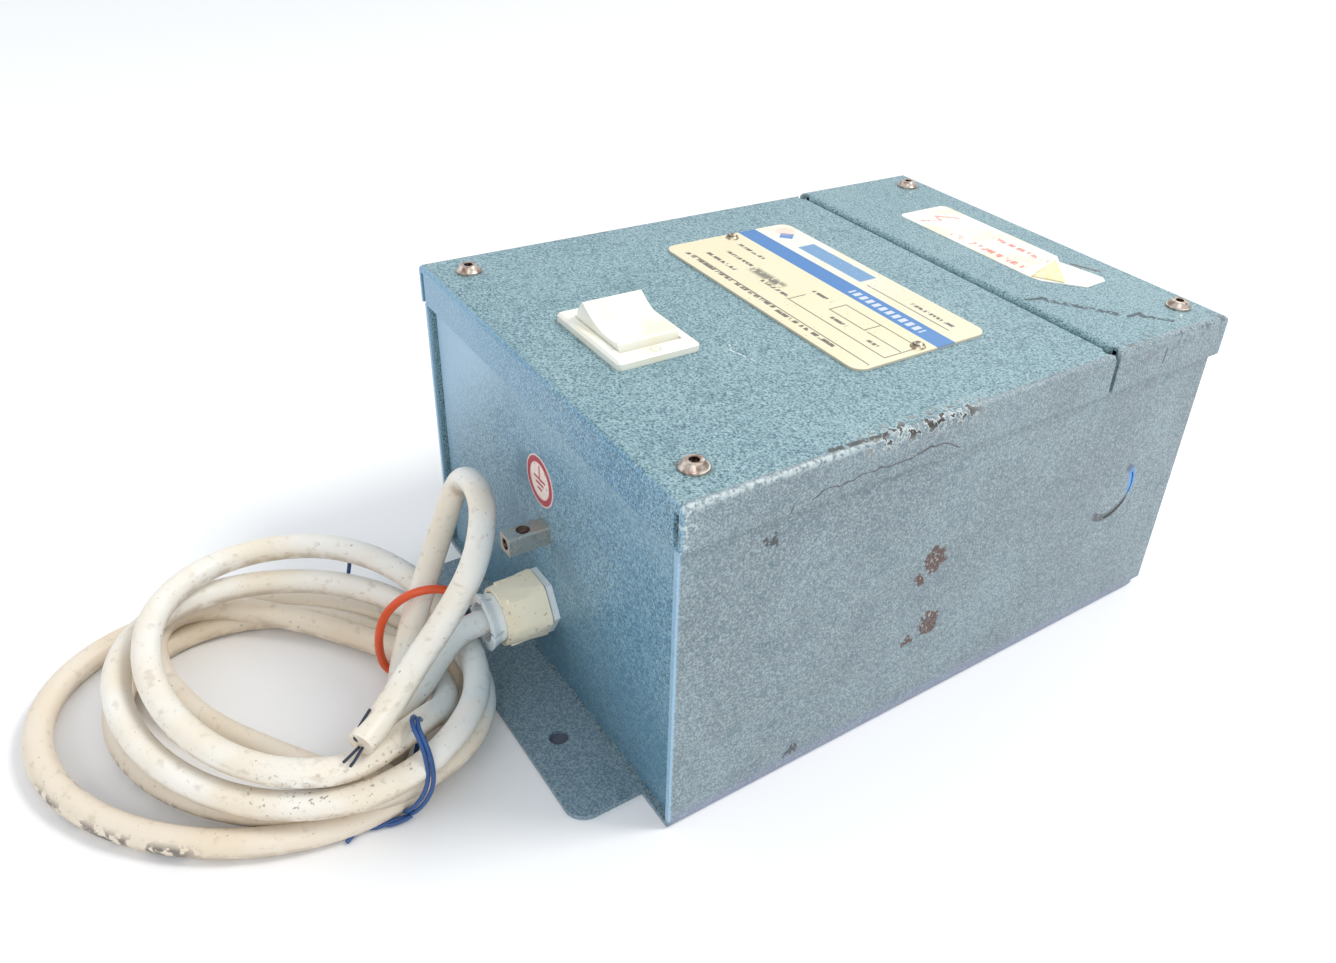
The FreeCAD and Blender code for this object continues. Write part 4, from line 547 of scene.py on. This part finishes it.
def winding():
    f = Finish("winding_copper", (0.6, 0.25, 0.1), roughness=0.28, metallic=0.9)
    _, _, _, z = f.place()
    strand = f.math("ABSOLUTE", f.math("SUBTRACT", f.math("FRACT", f.math("MULTIPLY", z, 1.4)), 0.5))
    base = f.mix(f.smooth(strand, 0.3, 0.5), (0.66, 0.27, 0.10), (0.16, 0.05, 0.02))
    f.bump(f.math("SUBTRACT", 0.5, strand), 0.00025, 0.8)
    return finished(f, base)


def sleeve():
    f = Finish("can_sleeve", (0.03, 0.06, 0.22), roughness=0.3, Coat_Weight=0.3)
    _, x, y, z = f.place()
    base = f.mix(f.smooth(x, -14.6, -14.2), (0.03, 0.06, 0.24), (0.55, 0.56, 0.57))
    stripe = f.times(f.span(x, -58, -20), f.span(f.away(y, z, (70, 20.5)), 16, 20), f.smooth(z, 35.5, 36.5))
    base = f.mix(f.times(stripe, 0.8), base, (0.7, 0.7, 0.68))
    return finished(f, base)


def split_tones(name, tones, axis, roughness=0.38):
    """Insulation whose tone changes along one axis: [(limit, colour), ...] upwards."""
    f = Finish(name, tones[0][1], roughness=roughness)
    along = f.place()[1 + axis]
    base = tones[0][1]
    for limit, colour in tones[1:]:
        base = f.mix(f.smooth(along, limit - 0.1, limit + 0.1), base, colour)
    return finished(f, base)


def plain(name, colour, roughness, **sockets):
    """One colour with darker patches and a faint unevenness."""
    f = Finish(name, colour, roughness=roughness, **sockets)
    darker = tuple(0.75 * part for part in colour)
    f.bump(f.noise(2.0, 3.0), 0.00005, 0.4)
    return finished(f, f.mix(f.times(f.smooth(f.noise(0.35, 4.0), 0.42, 0.66), 0.7), colour, darker))


def cover_screw():
    """Tarnished button heads; the hexagon sockets are painted dark as shade."""
    f = Finish("cover_screw", (0.62, 0.54, 0.47), roughness=0.3, metallic=1.0)
    _, x, y, _ = f.place()
    base = f.mix(f.smooth(f.noise(0.5, 4.0), 0.45, 0.65), (0.66, 0.57, 0.49), (0.33, 0.22, 0.17))
    # Painted shade in the hexagon socket of each head.
    base = f.mix(f.smooth(off_screws(f, x, y), 1.45, 1.15), base, (0.06, 0.045, 0.035))
    f.bump(f.noise(2.0, 3.0), 0.00005, 0.5)
    return finished(f, base)


def eyelet():
    """Rolled rivet heads: a bright rim, painted shade in a groove and painted shade in the middle."""
    f = Finish("eyelet", (0.60, 0.52, 0.40), roughness=0.35, metallic=0.8)
    _, x, y, _ = f.place()
    off = f.away(f.math("ABSOLUTE", f.math("ADD", x, 2.3)), y, (45.6, -2.3))
    base = f.mix(f.smooth(f.noise(0.8, 4.0), 0.42, 0.6), (0.72, 0.64, 0.48), (0.36, 0.28, 0.20))
    # Painted shade in the groove and in the middle of each head.
    base = f.mix(f.times(f.span(off, 1.35, 1.75, 0.15), 0.85), base, (0.08, 0.06, 0.05))
    base = f.mix(f.times(f.smooth(off, 0.75, 0.5), 0.8), base, (0.10, 0.07, 0.055))
    return finished(f, base)


STEEL = metal("nickel", (0.66, 0.61, 0.54), 0.26, dirt=0.25, tarnish=(0.36, 0.29, 0.21), scale=0.3)
SCREW = cover_screw()
ZINC = metal("zinc", (0.60, 0.61, 0.62), 0.38)
BRASS = metal("brass", (0.72, 0.52, 0.22), 0.33)
ALUMINIUM = metal("aluminium", (0.78, 0.79, 0.80), 0.34)
NYLON = nylon()
IVORY = ivory()
SHEATH = sheath()
COPPER = winding()
BLACK = finished(*plastic("black_nylon", (0.025, 0.025, 0.028), (0.05, 0.05, 0.05), 0.45))
PALE = finished(*plastic("pale_nylon", (0.80, 0.78, 0.70), (0.72, 0.66, 0.52), 0.5))
# The gland's clamp: white nylon tinted blue-grey as painted shade.
CLAMP_SHADED_BLUE = finished(*plastic("clamp_nylon_shaded_blue", (0.78, 0.85, 0.87), (0.90, 0.93, 0.92), 0.4, grain=0.2))
# The divider is dark as painted shade, so the joint between the covers shows a shaded gap.
DIVIDER_SHADE_DARK = finished(*plastic("divider_painted_shade", (0.055, 0.11, 0.14), (0.12, 0.20, 0.24), 0.45, grain=1.5))
LIVE, NEUTRAL, EARTH_GREEN = (0.20, 0.07, 0.03), (0.02, 0.09, 0.42), (0.05, 0.32, 0.06)

MATERIALS = {
    "base_channel": finished(*wall_paint("paint_walls")),
    "front_panel": finished(*panel_paint("paint_front_panel")),
    "rear_panel": finished(*paint("paint_rear_panel", (0.19, 0.34, 0.43))),
    "compartment_divider": DIVIDER_SHADE_DARK,
    "divider_grommet": plain("grommet_rubber", (0.02, 0.02, 0.02), 0.7),
    "rivet_nuts": ZINC,
    "front_cover": finished(*cover_paint("paint_front_cover")),
    "front_cover_screws": SCREW,
    "nameplate": nameplate_print(),
    "nameplate_rivets": eyelet(),
    "switch_body": IVORY,
    "switch_rocker": IVORY,
    "switch_tabs": BRASS,
    "rear_cover": rear_cover_paint(),
    "rear_cover_screws": SCREW,
    "rear_label": label_print(),
    "gland_body": CLAMP_SHADED_BLUE,
    "gland_nut": NYLON,
    "gland_seal": plain("seal_rubber", (0.03, 0.03, 0.03), 0.7),
    "gland_locknut": NYLON,
    "earth_pillar": STEEL,
    "earth_clamp_screw": plain("dark_screw", (0.09, 0.055, 0.045), 0.5),
    "earth_nuts": ZINC,
    "earth_tag": BRASS,
    "earth_label": earth_disc(),
    "transformer_core": laminations(),
    "transformer_bobbin": PALE,
    "primary_winding": COPPER,
    "secondary_winding": COPPER,
    "winding_insulation": finished(*plastic("polyester_tape", (0.80, 0.66, 0.20), (0.70, 0.52, 0.14), 0.35)),
    "transformer_feet": ZINC,
    "core_bolts": ZINC,
    "foot_rivets": ALUMINIUM,
    "smoothing_capacitor": sleeve(),
    "capacitor_clip": ZINC,
    "heat_sink": ALUMINIUM,
    "bridge_rectifier": BLACK,
    "rectifier_screw": ZINC,
    "fuse_base": BLACK,
    "fuse_clips": BRASS,
    "fuse_glass": plain("fuse_glass", (0.93, 0.97, 0.96), 0.04, Transmission_Weight=0.9, IOR=1.45),
    "fuse_caps": STEEL,
    "terminal_block": PALE,
    "terminal_inserts": BRASS,
    "terminal_screws": ZINC,
    "mains_tail": SHEATH,
    "tab_sockets": finished(*plastic("tab_sleeves", (0.60, 0.10, 0.07), (0.50, 0.08, 0.06), 0.4)),
    "mains_cores": split_tones("mains_insulation", [(-99, LIVE), (-1.2, EARTH_GREEN), (1.2, NEUTRAL)], 0),
    "switched_leads": split_tones("switched_insulation", [(-99, NEUTRAL), (16, LIVE)], 0),
    "secondary_leads": plain("secondary_insulation", (0.60, 0.48, 0.04), 0.38),
    "output_leads": split_tones("output_insulation",
                                [(-999, (0.03, 0.03, 0.03)), (70, (0.45, 0.03, 0.03))], 1),
}

for name, material in MATERIALS.items():
    node = NODES[name]
    node.data.materials.clear()
    node.data.materials.append(material)


# ---- softened edges on the CAD nodes ----------------------------------------------------
# Bevel width in millimetres.
EDGE = {
    "base_channel": 0.35, "front_panel": 0.3, "rear_panel": 0.3,
    "compartment_divider": 0.3, "nameplate": 0.2, "switch_body": 0.25, "switch_rocker": 0.35,
    "gland_nut": 0.35, "gland_body": 0.25, "gland_locknut": 0.4, "earth_pillar": 0.2,
    "front_cover_screws": 0.25, "rear_cover_screws": 0.25,
    "transformer_core": 0.3, "transformer_bobbin": 0.3,
    "transformer_feet": 0.4, "core_bolts": 0.3, "bridge_rectifier": 0.5, "terminal_block": 0.3,
    "fuse_base": 0.3, "heat_sink": 0.3, "capacitor_clip": 0.2, "smoothing_capacitor": 0.2,
}
for name, width in EDGE.items():
    node = NODES[name]
    weld = node.modifiers.new("weld", "WELD")
    weld.merge_threshold = 0.02 * MM
    bevel = node.modifiers.new("edge", "BEVEL")
    bevel.width = width * MM
    bevel.segments = 2
    bevel.limit_method = "ANGLE"
    bevel.angle_limit = radians(35)
    shade = node.modifiers.new("shade", "WEIGHTED_NORMAL")
    shade.keep_sharp = False
    shade.weight = 60


# ---- pieces drawn here ------------------------------------------------------------------
def curve_piece(name, points, radius, material, body="base", closed=False, detail=8):
    """A round piece that follows one smooth spline through control points in millimetres."""
    data = bpy.data.curves.new(name, "CURVE")
    data.dimensions = "3D"
    data.bevel_depth = radius * MM
    data.bevel_resolution = 6
    data.resolution_u = detail
    data.use_fill_caps = True
    spline = data.splines.new("NURBS")
    spline.points.add(len(points) - 1)
    for point, place in zip(spline.points, metres(points)):
        point.co = (*place, 1)
    spline.order_u = 3
    spline.use_endpoint_u = not closed
    spline.use_cyclic_u = closed
    data.materials.append(material)
    obj = bpy.data.objects.new(name, data)
    bpy.context.scene.collection.objects.link(obj)
    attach(obj, body)
    return obj


# Mains lead: the route's points as in part.py, then the coil's turns, then the standing loop.
LEAD = [(0.0, -118.5, 25.0), (0.0, -125.0, 25.0), (2.6, -132.0, 22.0), (6.0, -138.5, 17.5),
        (9.5, -145.5, 14.5), (13.5, -153.0, 13.0), (19.5, -160.0, 12.0), (27.0, -158.5, 8.5),
        (28.5, -150.0, 5.0), (24.5, -141.5, 4.2), (17.5, -134.5, 4.0)]
LOOP = [(17.0, -166.0, 4.2), (19.5, -157.5, 4.2), (13.0, -149.5, 4.5), (2.0, -145.5, 10.5),
        (-5.5, -139.5, 20.5), (-11.5, -132.5, 30.0), (-20.5, -124.0, 37.5), (-29.0, -115.5, 44.5),
        (-31.5, -111.0, 52.0), (-25.5, -110.0, 58.0), (-14.0, -111.0, 61.0), (-1.0, -115.0, 60.5),
        (10.5, -123.0, 54.5), (13.5, -133.0, 43.5), (18.0, -145.0, 35.0), (24.5, -155.0, 29.6),
        (30.0, -163.5, 28.4)]
CORD_RADIUS, CORE_RADIUS, TIE_RADIUS, WIRE_RADIUS = 3.7, 0.4, 1.25, 0.6
# x, y, half length, half width, heading; height at the tie, right, back, left and front
TURNS = [((-20.6, -176.7, 60.7, 45.9, 48), (9.0, 4.0, 4.0, 4.0, 4.0)),
         ((-17.9, -171.2, 50.4, 36.6, 33), (4.0, 4.0, 4.0, 4.0, 6.0)),
         ((-12.5, -166.4, 52.3, 39.0, 36), (12.0, 11.8, 18.5, 20.0, 13.0)),
         ((-14.3, -161.9, 49.6, 37.8, 23), (20.0, 16.5, 28.5, 28.0, 21.0)),
         ((-23.6, -165.7, 48.5, 23.6, 33), (20.0, 11.0, 5.0, 12.0, 5.0))]
TIE_X, TIE_Y = 33.0, -150.0
STATIONS = (0.0, 0.17, 0.36, 0.60, 0.85)    # where round a turn those heights are reached
STEPS = 16                                  # control points in a turn
SEAM = 0.1                                  # share of a turn that eases into the next one


def eased(w):
    return w * w * (3 - 2 * w)


def turn_height(heights, f):
    if f <= STATIONS[0]:
        return heights[0]
    for i in range(len(STATIONS) - 1):
        if f <= STATIONS[i + 1]:
            w = eased((f - STATIONS[i]) / (STATIONS[i + 1] - STATIONS[i]))
            return heights[i] * (1 - w) + heights[i + 1] * w
    return heights[-1]


def turn_point(turn, f):
    """The point a fraction f round one oval turn, counted from the tie, seen from above to the left."""
    (x, y, a, b, heading), heights = turn
    h = radians(heading)
    dx, dy = TIE_X - x, TIE_Y - y
    u = atan2((-dx * sin(h) + dy * cos(h)) / b, (dx * cos(h) + dy * sin(h)) / a) + 2 * pi * f
    return Vector((x + a * cos(u) * cos(h) - b * sin(u) * sin(h),
                   y + a * cos(u) * sin(h) + b * sin(u) * cos(h), turn_height(heights, f)))


def coil_point(t):
    k = min(int(t), len(TURNS) - 1)
    f = t - k
    point = turn_point(TURNS[k], f)
    if f > 1 - SEAM and k + 1 < len(TURNS):
        point = point.lerp(turn_point(TURNS[k + 1], f - 1), eased((f - 1 + SEAM) / (2 * SEAM)))
    if f < SEAM and k > 0:
        point = turn_point(TURNS[k - 1], f + 1).lerp(point, eased((f + SEAM) / (2 * SEAM)))
    return point


COIL_START, COIL_END = 0.18, 4.91
coil = [coil_point(COIL_START + i / STEPS) for i in range(int((COIL_END - COIL_START) * STEPS) + 1)]
cord = curve_piece("mains_lead", LEAD + coil + LOOP, CORD_RADIUS, SHEATH, detail=6)
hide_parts("cord_lead", "cord_coil", "cord_loop")

DARK_CORE = plain("core_insulation", (0.02, 0.03, 0.06), 0.4)
# Each core's way out of the sheath's cut end.
CORE_ROUTES = (
    [(29.3, -163.2, 29.0), (29.6, -165.0, 30.5), (27.2, -162.6, 31.5), (24.8, -158.6, 33.5)],
    [(30.1, -163.8, 28.0), (31.0, -165.8, 27.6), (30.8, -167.2, 26.4), (30.2, -168.0, 25.2)],
    [(30.6, -163.2, 27.8), (32.0, -165.0, 27.2), (32.4, -166.2, 26.0), (32.0, -167.0, 24.8)])
for i, points in enumerate(CORE_ROUTES):
    core = curve_piece(f"end_core_{i + 1}", points, CORE_RADIUS, DARK_CORE)
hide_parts("cord_end_cores")

ORANGE = finished(*plastic("orange_tie", (0.80, 0.10, 0.025), (0.62, 0.07, 0.02), 0.35))
tie = curve_piece("orange_tie", [(-7.5, -124.0, 34.0), (-8.0, -130.5, 37.0), (-10.5, -137.0, 35.0),
                                 (-13.5, -142.5, 28.0), (-15.5, -144.6, 16.5), (-16.5, -143.0, 4.5),
                                 (-13.0, -135.5, 1.8), (-9.0, -127.0, 5.0), (-10.0, -121.5, 14.0),
                                 (-9.5, -120.5, 26.0)], TIE_RADIUS, ORANGE, closed=True)
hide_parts("coil_tie")

BLUE = finished(*plastic("blue_wire", (0.025, 0.085, 0.26), (0.015, 0.05, 0.18), 0.35))
ring = [(21.0, -144.5, 15.0), (25.0, -147.0, 25.0), (30.5, -149.4, 27.5), (36.4, -148.6, 23.0),
        (38.6, -149.0, 13.5), (37.5, -152.5, 6.0), (34.0, -156.0, 1.0), (26.5, -152.5, 0.8),
        (20.5, -147.0, 3.5)]
for i, shift in enumerate(((0, 0, 0), (-0.9, -1.1, 0.5))):
    shifted = [tuple(a + b for a, b in zip(point, shift)) for point in ring]
    curve_piece(f"wire_tie_{i + 1}", shifted, WIRE_RADIUS, BLUE, closed=True)
tails = ([(35.0, -155.0, 1.8), (35.0, -159.5, 1.0), (32.4, -163.6, 1.4), (31.2, -167.8, 1.5),
          (33.6, -171.5, 1.0)],
         [(34.4, -155.6, 1.3), (33.6, -160.0, 1.6), (33.4, -163.8, 0.9), (30.4, -167.4, 0.9),
          (31.6, -171.0, 1.3)],
         [(-48.0, -141.8, 19.6), (-48.8, -141.0, 21.8), (-49.4, -140.3, 24.0)])
for i, points in enumerate(tails):
    curve_piece(f"wire_tie_tail_{i + 1}", points, WIRE_RADIUS, BLUE)
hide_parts("coil_wire_tie")


# The folded corner: the fold's near and far ends and the tip; the label's top is at LABEL_TOP.
LABEL_TOP = 105.95
FLAP = (Vector((24.2, 66.0, 0)), Vector((18.8, 84.6, 0)), Vector((33.2, 72.0, 0)))


def label_flap():
    """The label's torn corner, folded back over it as a flat triangle that lifts a little."""
    mesh = bmesh.new()
    steps = 10
    fold, far, tip = FLAP
    grid = []
    for i in range(steps):
        s = 0.97 * i / (steps - 1)
        row = []
        for j in range(steps):
            t = j / (steps - 1)
            flat = fold + (far - fold) * s + (tip - fold) * t * (1 - s)
            lift = 0.12 + 0.35 * s * (1 - t) + 0.12 * sin(3.0 * s + 2.0 * t)
            row.append(mesh.verts.new((flat + Vector((0, 0, LABEL_TOP + lift))) * MM))
        grid.append(row)
    for i in range(steps - 1):
        for j in range(steps - 1):
            mesh.faces.new((grid[i][j], grid[i][j + 1], grid[i + 1][j + 1], grid[i + 1][j]))
    data = bpy.data.meshes.new("label_flap")
    mesh.to_mesh(data)
    mesh.free()
    for polygon in data.polygons:
        polygon.use_smooth = True
    f = Finish("aged_paper", (0.82, 0.72, 0.42), roughness=0.5)
    base = f.mix(f.smooth(f.noise(0.3, 4.0), 0.4, 0.65), (0.88, 0.82, 0.52), (0.86, 0.74, 0.34))
    data.materials.append(finished(f, base))
    obj = bpy.data.objects.new("label_flap", data)
    bpy.context.scene.collection.objects.link(obj)
    thick = obj.modifiers.new("thickness", "SOLIDIFY")
    thick.thickness = 0.15 * MM
    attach(obj, "rear_cover")


label_flap()


# ---- floor, light and camera ------------------------------------------------------------
# Middle of a mounting hole, repeated on both sides both ways; the floor gets a painted shadow in them.
MOUNTING_HOLE = (31.0, 110.5)


def floor():
    mesh = bmesh.new()
    half = 4.0
    corners = [mesh.verts.new((x * half, y * half, 0)) for x, y in ((-1, -1), (1, -1), (1, 1), (-1, 1))]
    mesh.faces.new(corners)
    data = bpy.data.meshes.new("floor")
    mesh.to_mesh(data)
    mesh.free()
    f = Finish("floor_white", (0.95, 0.95, 0.95), roughness=0.65)
    _, x, y, z = f.place()
    # Painted shadow on the floor in the mounting holes.
    painted_shade_under = f.smooth(f.away(f.math("ABSOLUTE", x), f.math("ABSOLUTE", y), MOUNTING_HOLE), 6.0, 5.5)
    data.materials.append(finished(f, f.mix(painted_shade_under, (0.95, 0.95, 0.95), (0.10, 0.11, 0.15))))
    obj = bpy.data.objects.new("floor", data)
    bpy.context.scene.collection.objects.link(obj)


def soft_light(name, place, target, size, power, colour):
    data = bpy.data.lights.new(name, "AREA")
    data.shape = "DISK"
    data.size = size
    data.energy = power
    data.color = colour
    obj = bpy.data.objects.new(name, data)
    obj.location = place
    obj.rotation_mode = "QUATERNION"
    obj.rotation_quaternion = (Vector(target) - Vector(place)).to_track_quat("-Z", "Y")
    bpy.context.scene.collection.objects.link(obj)


floor()
# place, target, size in metres, power in watts, colour
soft_light("key", (0.60, 0.85, 1.5), (0.0, -0.05, 0.05), 0.55, 15.0, (1.0, 0.985, 0.96))
soft_light("fill", (0.95, -0.75, 0.9), (0.0, -0.05, 0.05), 1.0, 3.5, (0.97, 0.98, 1.0))
soft_light("front", (-0.9, -0.9, 0.5), (0.0, -0.1, 0.05), 0.9, 1.2, (0.88, 0.94, 1.0))
soft_light("back", (-1.3, 2.2, 1.9), (-1.0, 1.6, 0.0), 2.0, 12.0, (1.0, 1.0, 1.0))

world = bpy.data.worlds.new("studio")
world.use_nodes = True
world.node_tree.nodes["Background"].inputs["Color"].default_value = (0.93, 0.96, 1.0, 1)
world.node_tree.nodes["Background"].inputs["Strength"].default_value = 0.78
bpy.context.scene.world = world
bpy.context.scene.view_settings.view_transform = "Standard"

eye = bpy.data.cameras.new("camera")
eye.sensor_width = 36.0
eye.lens = 29.18
eye.shift_x = -0.0634
eye.shift_y = -0.0344
eye.clip_start = 0.01
camera = bpy.data.objects.new("camera", eye)
place = Vector((0.2317, -0.2058, 0.2395))
looking, up = Vector((-0.6722, 0.5257, -0.5213)), Vector((-0.4567, 0.2598, 0.8508))
right = looking.cross(up).normalized()
up = right.cross(looking).normalized()
turned = Matrix((right, up, -looking.normalized())).transposed().to_4x4()
camera.matrix_world = Matrix.Translation(place) @ turned
bpy.context.scene.collection.objects.link(camera)
bpy.context.scene.camera = camera

bpy.context.view_layer.update()
